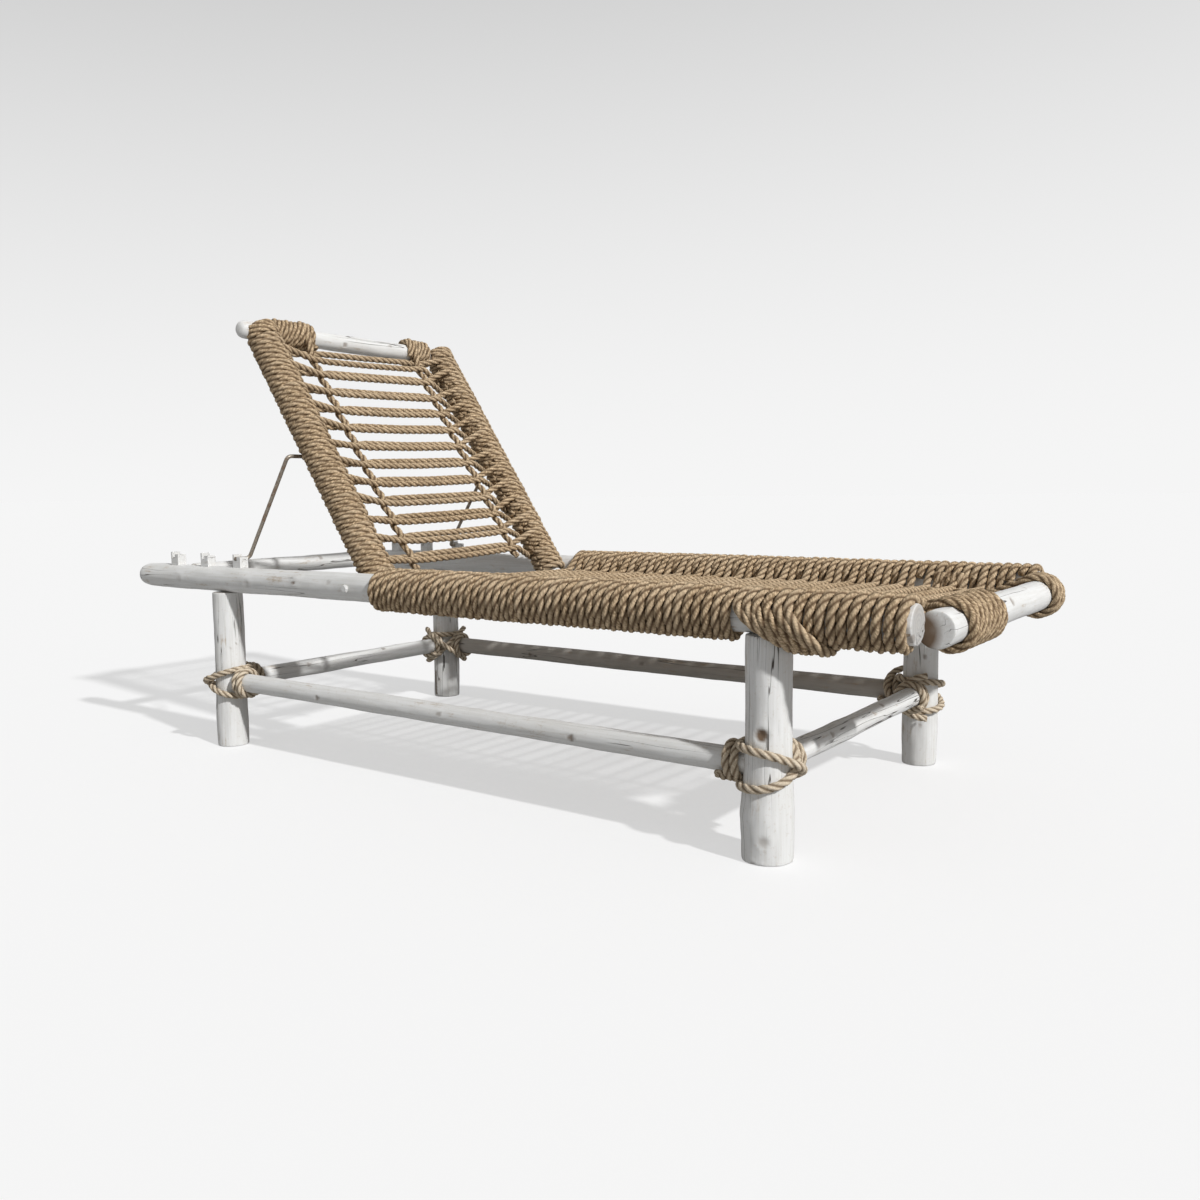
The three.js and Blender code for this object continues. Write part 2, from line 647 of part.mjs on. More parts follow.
// Seat net: pairs of strands that lean on the flanks of the two windings, with two long cords
const flankAngle = (2 * Math.PI) / RAIL_WINDING_SIDES;
const flankDistance = sideWindingRadius * Math.cos(flankAngle / 2) + SEAT_GAP;
const flankInset = (height) => (flankDistance - height * Math.cos(flankAngle)) / Math.sin(flankAngle);
const seatEdgeHeight = sideWindingRadius - SEAT_EDGE_DROP;
const seatMiddleHeight = sideWindingRadius - SEAT_STRAND_DROP;
const [nearSide, farSide] = SIDES;
const seatX = (share, side) => THREE.MathUtils.lerp(seatStart[side.name], seatFrontX, share);
const seatCordY = { near: SEAT_NEAR_CORD_INSET - railSide, far: railSide - SEAT_FAR_CORD_INSET };
const strandRadius = ROPE_DIAMETER / 2;
const pairHalfWidth = (SEAT_TURN_PITCH + ROPE_DIAMETER) / 2;
// Outline of two strands side by side, clockwise when looking along +Y
const pairOutline = [
  [pairHalfWidth, strandRadius],
  [pairHalfWidth, -strandRadius],
  [-pairHalfWidth, -strandRadius],
  [-pairHalfWidth, strandRadius],
];
function seatPair(share) {
  const edge = (side) =>
    pairOutline.map(([dx, dz]) => {
      const height = seatEdgeHeight + dz;
      const y = side.sign * (railSide - flankInset(height));
      return v(seatX(share, side) + dx, y, railAxisZ + height);
    });
  const middle = (side) => {
    const y = seatCordY[side.name];
    const across = (y + railSide) / RAIL_TRACK;
    const x = THREE.MathUtils.lerp(seatX(share, nearSide), seatX(share, farSide), across);
    return pairOutline.map(([dx, dz]) => v(x + dx, y, railAxisZ + seatMiddleHeight + dz));
  };
  return sectionSkin([edge(nearSide), middle(nearSide), middle(farSide), edge(farSide)]);
}
const seatPairs = Math.floor(nearTurns / SEAT_PAIR_TURNS);
const pairShare = (k) => (k * SEAT_PAIR_TURNS + 1) / nearTurns;
const seatCord = (side) => {
  const z = railAxisZ + seatMiddleHeight;
  const y = seatCordY[side.name];
  const front = railFootX + FOOT_RAIL_BEYOND - FOOT_RAIL_DIAMETER / 2 - ROPE_DIAMETER - SEAT_GAP;
  return bar(v(seatX(pairShare(0), side) - SEAT_CORD_TAIL, y, z), v(front, y, z), ROPE_DIAMETER, ROPE_SIDES);
};
const seatNet = join(
  ...Array.from({ length: seatPairs }, (_, k) => seatPair(pairShare(k))),
  ...SIDES.map(seatCord),
);
add(lounger, "seat_strands", seatNet, rope());

// Windings on the foot rail
const footWrap = (start, turns) =>
  between(
    winding(turns, ROPE_DIAMETER, FOOT_RAIL_DIAMETER, ROPE_DIAMETER, POLE_WINDING_SIDES),
    v(footX, start - railSide, footZ),
    v(footX, start - railSide + ROPE_DIAMETER, footZ),
  );
add(lounger, "near_foot_winding", footWrap(FOOT_WRAP_NEAR_START, FOOT_WRAP_NEAR_TURNS), rope());
const footWrapFarStart = RAIL_TRACK - FOOT_WRAP_FAR_START - FOOT_WRAP_FAR_TURNS * ROPE_DIAMETER;
add(lounger, "far_foot_winding", footWrap(footWrapFarStart, FOOT_WRAP_FAR_TURNS), rope());

// Lashings: one rope at each leg. It coils along the long stretcher to the leg, goes under that
// stretcher, crosses itself on the outer face of the leg, and coils away along the cross stretcher.
const lashStart = Math.PI / 4; // over the long stretcher, from the inner corner of the leg
const lashArc = (4 * Math.PI - 2 * lashStart) / LASHING_STEPS; // turned at each step
const lashPitch = LASHING_DIAMETER + 2 * RUNNING_GAP;
// Radius of a faceted turn whose straight steps all clear the pole inside it.
const turnRadius = (core, arc) => (core / 2 + SEAT_GAP + LASHING_DIAMETER / 2) / Math.cos(arc / 2);
const legSag = (LEG_DIAMETER / 2) * (1 - Math.cos(Math.PI / POLE_SIDES));
const lashRadius = turnRadius(LEG_DIAMETER - 2 * legSag * LASHING_BED_SHARE, lashArc);
const smooth = (t) => {
  const s = Math.min(Math.max(t, 0), 1);
  return s * s * (3 - 2 * s);
};
// The turns round the leg, from under the long stretcher to under the cross stretcher.
function legTurns(leg) {
  const lift = turnRadius(LONG_STRETCHER_DIAMETER, (2 * Math.PI) / COIL_STEPS);
  const inner = Math.atan2(-leg.sign, leg.inward);
  const hand = leg.sign * leg.inward;
  const points = [];
  for (let i = 0; i <= LASHING_STEPS; i += 1) {
    const turned = lashStart + lashArc * i;
    const round = turned % (2 * Math.PI);
    const second = turned >= 2 * Math.PI;
    const climb = smooth((round - lashStart) / (2 * Math.PI - 2 * lashStart));
    const level = second ? 1 - 2 * climb : 2 * climb - 1;
    const offShare = Math.abs(round - Math.PI) / Math.PI;
    const over = second ? 1 - smooth((offShare - CROSSING_SHARE) / CROSSING_RAMP_SHARE) : 0;
    const radius = lashRadius + over * (lashPitch + RUNNING_GAP);
    const angle = inner + hand * round;
    const x = leg.x + radius * Math.cos(angle);
    const y = leg.sign * railSide + radius * Math.sin(angle);
    points.push(v(x, y, STRETCHER_HEIGHT + level * lift));
  }
  return points;
}
// A coil along a stretcher, from below it at the leg outwards, with a straight tail.
function coil(leg, way, side, diameter) {
  const radius = turnRadius(diameter, (2 * Math.PI) / COIL_STEPS);
  const points = [];
  for (let i = 1; i <= COIL_TURNS * COIL_STEPS; i += 1) {
    const turn = i / COIL_STEPS;
    const angle = 2 * Math.PI * turn;
    const along = lashRadius + lashPitch * Math.min(2 * turn, turn + COIL_PAUSE_SHARE);
    points.push(
      v(leg.x, leg.sign * railSide, STRETCHER_HEIGHT)
        .addScaledVector(way, along)
        .addScaledVector(side, radius * Math.sin(angle))
        .add(v(0, 0, -radius * Math.cos(angle))),
    );
  }
  points.push(points.at(-1).clone().addScaledVector(side, LASHING_DIAMETER));
  return points;
}
for (const leg of LEGS) {
  const longWay = v(leg.inward, 0, 0);
  const crossWayIn = v(0, -leg.sign, 0);
  const longCoil = coil(leg, longWay, crossWayIn, LONG_STRETCHER_DIAMETER).reverse();
  const crossCoil = coil(leg, crossWayIn, longWay, CROSS_STRETCHER_DIAMETER);
  const points = [...longCoil, ...legTurns(leg), ...crossCoil];
  const name = leg.name.replace("leg", "lashing");
  leastGap(name, points, LASHING_DIAMETER);
  add(lounger, name, tube(points, LASHING_DIAMETER, LASHING_SIDES), paleRope());
}

// Backrest, in its own frame: X towards the foot of the poles, Z towards the sitter, hinge at the origin
const up = (along, y, front = 0) => v(-along, y, front);
const topRailBar = (grow) =>
  between(
    pole(
      2 * poleSide + TOP_RAIL_NEAR_OVERHANG + TOP_RAIL_FAR_OVERHANG,
      TOP_RAIL_DIAMETER,
      PLAIN_SWELL_SHARES,
      { domeStart: !grow, grow },
    ),
    up(topRailAlong, -poleSide - TOP_RAIL_NEAR_OVERHANG, -TOP_RAIL_SETBACK),
    up(topRailAlong, poleSide + TOP_RAIL_FAR_OVERHANG, -TOP_RAIL_SETBACK),
  );
const topScrew = (sign, grow = 0) => {
  const outside = topRailAlong + TOP_RAIL_DIAMETER / 2;
  const y = sign * poleSide;
  return [
    tenon(
      up(outside, y, -TOP_RAIL_SETBACK),
      up(outside - TOP_SCREW_LENGTH, y, -TOP_RAIL_SETBACK),
      SCREW_DIAMETER,
      grow,
    ),
    tenon(
      up(outside + (grow ? CUT_OVERRUN : 0), y, -TOP_RAIL_SETBACK),
      up(outside - SCREW_HEAD_HEIGHT, y, -TOP_RAIL_SETBACK),
      SCREW_HEAD_DIAMETER,
      grow,
    ),
  ];
};
const eyeShank = (sign, grow = 0) =>
  tenon(
    up(PROP_ALONG_POLE, sign * poleSide, -eyeBehindPole + eyeRadius),
    up(PROP_ALONG_POLE, sign * poleSide, -POLE_DIAMETER / 2 + EYE_SHANK_DEPTH),
    EYE_SHANK_DIAMETER,
    grow,
  );
const poleTurns = Math.floor((POLE_LENGTH - POLE_BARE_FOOT - ROPE_DIAMETER / 2) / POLE_TURN_PITCH);
for (const { name, sign } of SIDES) {
  const y = sign * poleSide;
  const stick = between(
    pole(POLE_TAIL + POLE_LENGTH + TOP_LAP, POLE_DIAMETER, PLAIN_SWELL_SHARES),
    up(-POLE_TAIL, y),
    up(POLE_LENGTH + TOP_LAP, y),
  );
  const hingeBore = bar(
    v(0, y - POLE_DIAMETER, 0),
    v(0, y + POLE_DIAMETER, 0),
    BOLT_DIAMETER + 2 * RUNNING_GAP,
  );
  const stickGeometry = cut(
    stick,
    topRailBar(SEAT_GAP),
    hingeBore,
    ...topScrew(sign, SEAT_GAP),
    eyeShank(sign, SEAT_GAP),
  );
  add(backrest, `${name}_backrest_pole`, stickGeometry, paint());
  const skin = between(
    winding(poleTurns, POLE_TURN_PITCH, POLE_DIAMETER, ROPE_DIAMETER, POLE_WINDING_SIDES),
    up(POLE_BARE_FOOT, y),
    up(POLE_LENGTH, y),
  );
  add(backrest, `${name}_backrest_winding`, cut(skin, eyeShank(sign, SEAT_GAP)), rope());
  const eyeCentre = up(PROP_ALONG_POLE, y, -eyeBehindPole);
  const eyeRing = new THREE.TorusGeometry(eyeRadius, EYE_WIRE_DIAMETER / 2, HEX_SIDES, 2 * HEX_SIDES);
  eyeRing.rotateX(Math.PI / 2).translate(eyeCentre.x, eyeCentre.y, eyeCentre.z);
  add(backrest, `${name}_prop_eye`, join(eyeRing, eyeShank(sign)), steel());
}
const topRailGeometry = cut(topRailBar(0), ...SIDES.flatMap(({ sign }) => topScrew(sign, SEAT_GAP)));
add(backrest, "backrest_top_rail", topRailGeometry, paint());
for (const { name, sign } of SIDES) {
  add(backrest, `${name}_top_rail_screw`, join(...topScrew(sign)), steel());
}

// Windings on the top rail
const topWrap = (start, turns) =>
  between(
    winding(turns, ROPE_DIAMETER, TOP_RAIL_DIAMETER, ROPE_DIAMETER, POLE_WINDING_SIDES),
    up(topRailAlong, start - railSide, -TOP_RAIL_SETBACK),
    up(topRailAlong, start - railSide + ROPE_DIAMETER, -TOP_RAIL_SETBACK),
  );
add(backrest, "near_top_winding", topWrap(TOP_WRAP_NEAR_START, TOP_WRAP_NEAR_TURNS), rope());
const topWrapFarStart = RAIL_TRACK - TOP_WRAP_FAR_START - TOP_WRAP_FAR_TURNS * ROPE_DIAMETER;
add(backrest, "far_top_winding", topWrap(topWrapFarStart, TOP_WRAP_FAR_TURNS), rope());

// Net: pairs of strands from pole to pole, the front one over and the back one under two long cords
const windingKeepOut = (sign) =>
  bar(
    up(-POLE_TAIL, sign * poleSide),
    up(POLE_LENGTH + TOP_LAP, sign * poleSide),
    2 * (poleWindingRadius + SEAT_GAP),
    2 * POLE_WINDING_SIDES,
  );
const nearCordY = NEAR_CORD_INSET - railSide;
const farCordY = railSide - FAR_CORD_INSET;
const cordRise = ROPE_DIAMETER * CORD_RISE_SHARE;
const cordTop = topRailAlong - TOP_RAIL_DIAMETER / 2 - ROPE_DIAMETER;
const longCords = [
  [up(RUNG_NEAR_START - CORD_TAIL, nearCordY), up(cordTop, nearCordY)],
  [up(RUNG_FAR_START - CORD_TAIL, farCordY), up(cordTop, farCordY)],
];
const strands = [...longCords];
for (let i = 0; i < RUNG_PAIRS; i += 1) {
  const share = i / (RUNG_PAIRS - 1);
  const nearAlong = THREE.MathUtils.lerp(RUNG_NEAR_START, POLE_LENGTH - RUNG_NEAR_TOP_MARGIN, share);
  const farAlong = THREE.MathUtils.lerp(RUNG_FAR_START, POLE_LENGTH - RUNG_FAR_TOP_MARGIN, share);
  for (const [shift, front] of [
    [-RUNG_SPACING / 2, cordRise],
    [RUNG_SPACING / 2, -cordRise],
  ])
    strands.push([
      up(nearAlong + shift, -poleSide, front),
      up(nearAlong + shift, nearCordY, front),
      up(farAlong + shift, farCordY, front),
      up(farAlong + shift, poleSide, front),
    ]);
}
const net = join(...strands.map((points) => tube(points, ROPE_DIAMETER, ROPE_SIDES)));
add(backrest, "backrest_net", cut(net, ...SIDES.map(({ sign }) => windingKeepOut(sign))), rope());

// Prop: one bent rod on each side. Its upper end turns in the eye, its lower end lies in the rest.
const hingePoint = v(HINGE_OFFSET, 0, railAxisZ);
const eyePoint = up(PROP_ALONG_POLE, 0, -eyeBehindPole).applyAxisAngle(v(0, 1, 0), recline).add(hingePoint);
const footPoint = v(REST_OFFSETS[0], 0, restBase + REST_NOTCH_HEIGHT + RUNNING_GAP + PROP_DIAMETER / 2);
const shin = footPoint.clone().sub(eyePoint);
// The corner of a bent rod: three points on a rounded turn from one leg to the next.
function bend(before, corner, after, radius) {
  const back = before.clone().sub(corner).normalize();
  const on = after.clone().sub(corner).normalize();
  const curve = new THREE.QuadraticBezierCurve3(
    corner.clone().addScaledVector(back, radius),
    corner,
    corner.clone().addScaledVector(on, radius),
  );
  return curve.getPoints(BEND_STEPS);
}
for (const { name, sign } of SIDES) {
  const side = (inset) => sign * (railSide - inset);
  const prop = new THREE.Group();
  prop.position.copy(eyePoint);
  lounger.add(prop);
  const pinEnd = v(0, side(POLE_TO_RAIL + PIN_PAST_EYE), 0);
  const upperCorner = v(0, side(PROP_TO_RAIL), 0);
  const lowerCorner = v(shin.x, side(PROP_TO_RAIL), shin.z);
  const footEnd = v(shin.x, side(-REST_WIDTH / 2), shin.z);
  const route = [
    pinEnd,
    ...bend(pinEnd, upperCorner, lowerCorner, PROP_BEND_RADIUS),
    ...bend(upperCorner, lowerCorner, footEnd, PROP_BEND_RADIUS),
    footEnd,
  ];
  add(prop, `${name}_prop`, tube(route, PROP_DIAMETER, SMALL_SIDES), steel());
}

// Stands the lounger on the floor with the middle of its box over the origin
lounger.updateMatrixWorld(true);
const box = new THREE.Box3().setFromObject(lounger, true);
const middle = box.getCenter(new THREE.Vector3());
lounger.position.set(-middle.x, -middle.y, -box.min.z);
console.log(`shift ${lounger.position.toArray().map((n) => n.toFixed(3))}`);

export default lounger;
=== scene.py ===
"""Looks of a rope woven sun lounger on whitewashed poles.

Lengths are written in millimetres, in the drawing of the lounger: X is measured from the rear legs
towards the foot end, Y from the middle towards the far side, and Z from the floor. They are turned
into metres of the shared frame where a mesh is made. Angles are in degrees.
"""

from __future__ import annotations

import logging
import math
import random
from dataclasses import dataclass, field
from enum import Enum
from typing import Callable, ClassVar, Iterable, Iterator, Sequence

import bmesh
import bpy
import numpy as np
from mathutils import Matrix, Vector, noise

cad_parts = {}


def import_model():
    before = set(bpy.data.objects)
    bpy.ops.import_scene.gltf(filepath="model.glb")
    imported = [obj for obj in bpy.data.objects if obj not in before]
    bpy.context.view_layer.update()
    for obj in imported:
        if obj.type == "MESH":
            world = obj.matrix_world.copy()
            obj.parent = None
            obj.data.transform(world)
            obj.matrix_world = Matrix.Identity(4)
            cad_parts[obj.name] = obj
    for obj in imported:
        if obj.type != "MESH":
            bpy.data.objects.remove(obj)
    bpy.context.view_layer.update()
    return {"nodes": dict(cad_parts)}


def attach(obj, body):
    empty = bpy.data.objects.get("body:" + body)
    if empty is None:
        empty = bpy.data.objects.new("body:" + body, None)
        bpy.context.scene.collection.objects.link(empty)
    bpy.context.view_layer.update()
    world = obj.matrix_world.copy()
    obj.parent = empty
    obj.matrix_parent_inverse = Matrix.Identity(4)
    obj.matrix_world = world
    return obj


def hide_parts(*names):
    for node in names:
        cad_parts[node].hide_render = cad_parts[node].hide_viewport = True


Array = np.ndarray
Colour = tuple[float, float, float]
Group = bpy.types.NodeTree
Line = Callable[[float], float]
Material = bpy.types.Material
Piece = bpy.types.Object
Socket = bpy.types.NodeSocket

LOG = logging.getLogger("sun_lounger")
MM = 0.001
SHIFT_X = -690.0


class Body(Enum):
    """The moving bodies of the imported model."""

    FRAME = "frame"
    BACKREST = "backrest"
    NEAR_PROP = "near_prop_arm"
    FAR_PROP = "far_prop_arm"


class Slot(Enum):
    """The kinds of finish, by name."""

    PAINT = "white_paint"
    ROPE = "tan_rope"
    PALE = "pale_rope"
    STEEL = "weathered_steel"


class Side(Enum):
    """The two long sides, as the sign of Y."""

    NEAR = -1
    FAR = 1

    @property
    def word(self) -> str:
        """The side's name as the nodes spell it."""
        return self.name.lower()

    def pick(self, near: object, far: object) -> object:
        """The one of two values that is this side's."""
        return near if self is Side.NEAR else far


@dataclass(frozen=True)
class Sizes:
    """Driving sizes of the lounger, the same as in the drawing, and what follows from them."""

    rail_length: float = 2000.0
    rail: float = 60.0
    track: float = 736.0
    head_overhang: float = 340.0
    foot_rail: float = 58.0
    foot_beyond: float = 15.0
    foot_drop: float = 10.0
    foot_inset: float = 30.0
    cross_rail: float = 46.0
    cross_rise: float = 8.0
    cross_near: float = 160.0
    cross_far: float = 245.0
    leg_spacing: float = 1420.0
    leg_height: float = 368.0
    leg: float = 75.0
    stretcher_height: float = 155.0
    long_stretcher: float = 43.0
    cross_stretcher: float = 42.0
    rope: float = 16.0
    seat_pitch: float = 17.8
    seat_near: float = 538.0
    seat_far: float = 500.0
    seat_turns: int = 61
    seat_cords: tuple[float, float] = (150.0, 80.0)
    seat_drop: float = 2.0
    hinge: float = 456.0
    recline: float = 56.1
    pole: float = 45.0
    pole_inset: float = 74.0
    pole_length: float = 684.0
    pole_tail: float = 23.0
    pole_bare: float = 16.0
    pole_pitch: float = 15.9
    top_rail: float = 42.0
    top_setback: float = 10.0
    top_near: float = 53.0
    top_far: float = 43.0
    top_lap: float = 18.0
    pairs: int = 12
    pair_gap: float = 19.0
    pair_near: tuple[float, float] = (60.0, 637.0)
    pair_far: tuple[float, float] = (74.0, 650.0)
    back_cords: tuple[float, float] = (193.0, 182.0)
    prop: float = 9.0
    prop_along: float = 375.0
    prop_inset: float = 28.0
    prop_bend: float = 12.0
    eye_wire: float = 4.0
    rest: float = 52.0
    gap: float = 0.3

    @property
    def rail_z(self) -> float:
        """Height of the side rails' axes."""
        return self.leg_height + self.gap + self.rail / 2

    @property
    def side(self) -> float:
        """Distance of a side rail's axis from the middle."""
        return self.track / 2

    @property
    def pole_side(self) -> float:
        """Distance of a backrest pole's axis from the middle."""
        return self.side - self.pole_inset

    @property
    def rail_end(self) -> float:
        """Sawn end of the side rails."""
        return self.rail_length - self.head_overhang

    @property
    def foot_x(self) -> float:
        """Axis of the foot rail."""
        return self.rail_end + self.foot_beyond

    @property
    def foot_z(self) -> float:
        """Height of the foot rail's axis."""
        return self.rail_z - self.foot_drop

    @property
    def deck(self) -> float:
        """Height of the seat strands' middle."""
        return self.rail_z - self.seat_drop

    @property
    def far_pitch(self) -> float:
        """Pitch of the turns on the far side rail, which end where the near ones do."""
        return (self.seat_near + self.seat_turns * self.seat_pitch - self.seat_far) / self.seat_turns

    @property
    def top_along(self) -> float:
        """Height of the top rail's axis, up the backrest."""
        return self.pole_length + self.top_rail / 2

    def cord_y(self, side: Side, insets: tuple[float, float]) -> float:
        """Y of a long cord, from its distances to the near and the far side rail's axis."""
        return side.value * (self.side - side.pick(*insets))


S = Sizes()
LEG_ROWS = (("rear", 0.0, 1), ("front", S.leg_spacing, -1))


def point(x: float, y: float, z: float) -> Array:
    """A point of the drawing as an array."""
    return np.array((x, y, z), dtype=float)


def to_frame(points: Array) -> Array:
    """Drawing points in millimetres as points of the shared frame in metres."""
    return (np.asarray(points, dtype=float) + (SHIFT_X, 0.0, 0.0)) * MM


def unit(vector: Array) -> Array:
    """The vector scaled to length one."""
    return vector / np.linalg.norm(vector)


def ease(share: float) -> float:
    """A smooth step from 0 to 1."""
    s = min(max(share, 0.0), 1.0)
    return s * s * (3.0 - 2.0 * s)


X_WAY, Y_WAY, Z_WAY = point(1, 0, 0), point(0, 1, 0), point(0, 0, 1)


def back_point(along: float, y: float, front: float = 0.0) -> Array:
    """A point given in the directions of the backrest as it stands.

    Args:
        along: Distance up the backrest from the hinge axis.
        y: Distance from the middle of the lounger.
        front: Distance towards the sitter.

    Returns:
        The point in the drawing.
    """
    a = math.radians(S.recline)
    way = point(-math.cos(a), 0.0, math.sin(a))
    face = point(math.sin(a), 0.0, math.cos(a))
    return point(S.hinge, y, S.rail_z) + way * along + face * front


BACK_WAY = unit(back_point(1.0, 0.0) - back_point(0.0, 0.0))
BACK_FACE = unit(back_point(0.0, 0.0, 1.0) - back_point(0.0, 0.0))


# Finishes


class Nodes:
    """Short hand for placing and joining shader nodes in one tree."""

    def __init__(self, tree: Group) -> None:
        """Keeps the tree and an empty place for its next node."""
        self.tree = tree
        self.column = 0

    def plug(self, target: Socket, value: object) -> None:
        """Links an input to a socket, or sets it to a number, a vector or a colour of three numbers."""
        if isinstance(value, Socket):
            self.tree.links.new(value, target)
        elif value is not None:
            target.default_value = (*value, 1.0) if target.type == "RGBA" else value

    def add(self, kind: str, *first: object, **values: object) -> bpy.types.Node:
        """Places a node.

        Args:
            kind: Blender's name of the node type, without ShaderNode.
            *first: What its first inputs get, in their order. None leaves an input as it is.
            **values: Node properties in small letters, and inputs by their names, with _ for a space.

        Returns:
            The new node.
        """
        node = self.tree.nodes.new("ShaderNode" + kind)
        self.column += 1
        node.location = (self.column % 8 * 190 - 900, -(self.column // 8) * 260)
        inputs = dict(enumerate(first))
        for name, value in values.items():
            if name[0].islower():
                setattr(node, name, value)
            else:
                inputs[name.replace("_", " ")] = value
        for key, value in inputs.items():
            self.plug(node.inputs[key], value)
        return node

    def math(self, operation: str, *values: object) -> Socket:
        """The result of a Math node on sockets or numbers."""
        return self.add("Math", *values, operation=operation).outputs[0]

    def times(self, first: object, second: object) -> Socket:
        """The product of two sockets or numbers."""
        return self.math("MULTIPLY", first, second)

    def plus(self, first: object, second: object) -> Socket:
        """The sum of two sockets or numbers."""
        return self.math("ADD", first, second)

    def minus(self, first: object, second: object) -> Socket:
        """The first socket or number less the second."""
        return self.math("SUBTRACT", first, second)

    def ramp(self, source: Socket, low: float, high: float) -> Socket:
        """Maps a value smoothly so that low becomes 0 and high becomes 1."""
        limits = {"From_Min": low, "From_Max": high}
        node = self.add("MapRange", interpolation_type="SMOOTHSTEP", Value=source, **limits)
        return node.outputs["Result"]

    def coat(self, under: object, share: object, over: object, strength: float = 1.0) -> Socket:
        """Lays a colour over another.

        Args:
            under: The colour below, or its socket.
            share: How much the upper one covers, from 0 to 1, or its socket.
            over: The colour above, or its socket.
            strength: What the share is multiplied by.

        Returns:
            The mixed colour's socket.
        """
        node = self.add("Mix", data_type="RGBA")
        share = share if strength == 1.0 else self.times(share, strength)
        for index, value in ((0, share), (6, under), (7, over)):
            self.plug(node.inputs[index], value)
        return node.outputs[2]

    def stretch(self, where: Socket, scale: Sequence[float]) -> Socket:
        """A position with each of its directions scaled."""
        return self.add("Mapping", Vector=where, Scale=scale).outputs["Vector"]

    def noise(self, where: Socket, scale: float | tuple, detail: float, rough: float) -> Socket:
        """The value of a Noise texture, with one scale or with one for each direction."""
        if isinstance(scale, tuple):
            where, scale = self.stretch(where, scale), 1.0
        return self.add("TexNoise", Vector=where, Scale=scale, Detail=detail, Roughness=rough).outputs["Fac"]

    def mask(self, name: str) -> Socket:
        """The value of a vertex attribute."""
        return self.add("Attribute", attribute_name=name).outputs["Fac"]

    def on_object(self) -> Socket:
        """The position on the object itself."""
        return self.add("TexCoord").outputs["Object"]


def shared_group(name: str, fill: Callable, *inputs: str) -> Group:
    """Makes a shader node group that several finishes share.

    Args:
        name: The group's name.
        fill: Places the nodes, given the helper and the input sockets, and gives the outputs by name.
        *inputs: Names of the inputs. Position is a vector and the others are numbers.

    Returns:
        The group.
    """
    group = bpy.data.node_groups.new(name, "ShaderNodeTree")
    for label in inputs:
        kind = "NodeSocketVector" if label == "Position" else "NodeSocketFloat"
        group.interface.new_socket(name=label, in_out="INPUT", socket_type=kind)
    n = Nodes(group)
    results = fill(n, *group.nodes.new("NodeGroupInput").outputs[: len(inputs)])
    for label in results:
        group.interface.new_socket(name=label, in_out="OUTPUT", socket_type="NodeSocketFloat")
    out = group.nodes.new("NodeGroupOutput")
    for label, value in results.items():
        n.plug(out.inputs[label], value)
    return group


def fill_grime(n: Nodes, position: Socket, scale: Socket) -> dict[str, Socket]:
    """Soft blotches and fine specks, for all the finishes."""
    place = n.add("VectorMath", position, operation="SCALE", Scale=scale).outputs["Vector"]
    return {
        "Blotch": n.ramp(n.noise(place, 7.0, 4.0, 0.6), 0.42, 0.66),
        "Speck": n.ramp(n.noise(place, 160.0, 2.0, 0.6), 0.60, 0.70),
    }


def fill_wood(n: Nodes, place: Socket) -> dict[str, Socket]:
    """Long grain, drying cracks and brush marks, at a position along and across a pole."""
    grain = n.noise(place, (9.0, 210.0, 210.0), 5.0, 0.6)
    cracks = n.noise(place, (2.6, 58.0, 58.0), 2.0, 0.45)
    narrow = n.minus(1.0, n.ramp(n.math("ABSOLUTE", n.minus(cracks, 0.5)), 0.003, 0.012))
    crack = n.times(narrow, n.ramp(n.noise(place, (3.5, 20.0, 20.0), 1.0, 0.5), 0.50, 0.60))
    patch = n.noise(place, (13.0, 30.0, 30.0), 5.0, 0.68)
    worn = n.ramp(n.plus(n.times(grain, 0.30), n.times(patch, 0.70)), 0.56, 0.70)
    height = n.minus(n.minus(n.times(grain, 0.35), crack), n.times(worn, 0.25))
    return {"Grain": grain, "Crack": crack, "Worn": worn, "Height": height}


def fill_strands(n: Nodes, position: Socket) -> dict[str, Socket]:
    """Strands and fibres of a laid rope, at its UV position."""
    split = n.add("SeparateXYZ", position)
    along, around = split.outputs[0], split.outputs[1]
    strand = n.times(around, 3.0)
    sawtooth = n.minus(n.times(n.math("FRACT", strand), 2.0), 1.0)
    crest = n.minus(1.0, n.math("ABSOLUTE", sawtooth))
    across = n.plus(n.times(around, 13.0), n.times(along, 27.0))
    yarn = n.add("CombineXYZ", across, n.times(around, 4.8), n.math("FLOOR", strand))
    fibre = n.noise(yarn.outputs[0], 1.0, 2.0, 0.6)
    height = n.plus(n.times(fibre, 0.8), n.times(crest, 0.5))
    # Crest is low in the grooves between the strands, where the rope finish paints shade.
    return {"Crest": n.ramp(crest, 0.0, 0.70), "Fibre": fibre, "Height": height}


@dataclass(frozen=True)
class SharedGroups:
    """The shader node groups that the finishes read."""

    grime: Group
    wood: Group
    strands: Group


def surface(name: str, fill: Callable[[Nodes], dict[str, object]]) -> Material:
    """Makes a material with one Principled shader.

    Args:
        name: The material's name.
        fill: Places the nodes before the shader, and gives what the shader's inputs get.

    Returns:
        The material.
    """
    material = bpy.data.materials.new(name)
    material.use_nodes = True
    material.node_tree.nodes.clear()
    n = Nodes(material.node_tree)
    shader = n.add("BsdfPrincipled", **fill(n))
    n.add("OutputMaterial", shader.outputs[0])
    return material


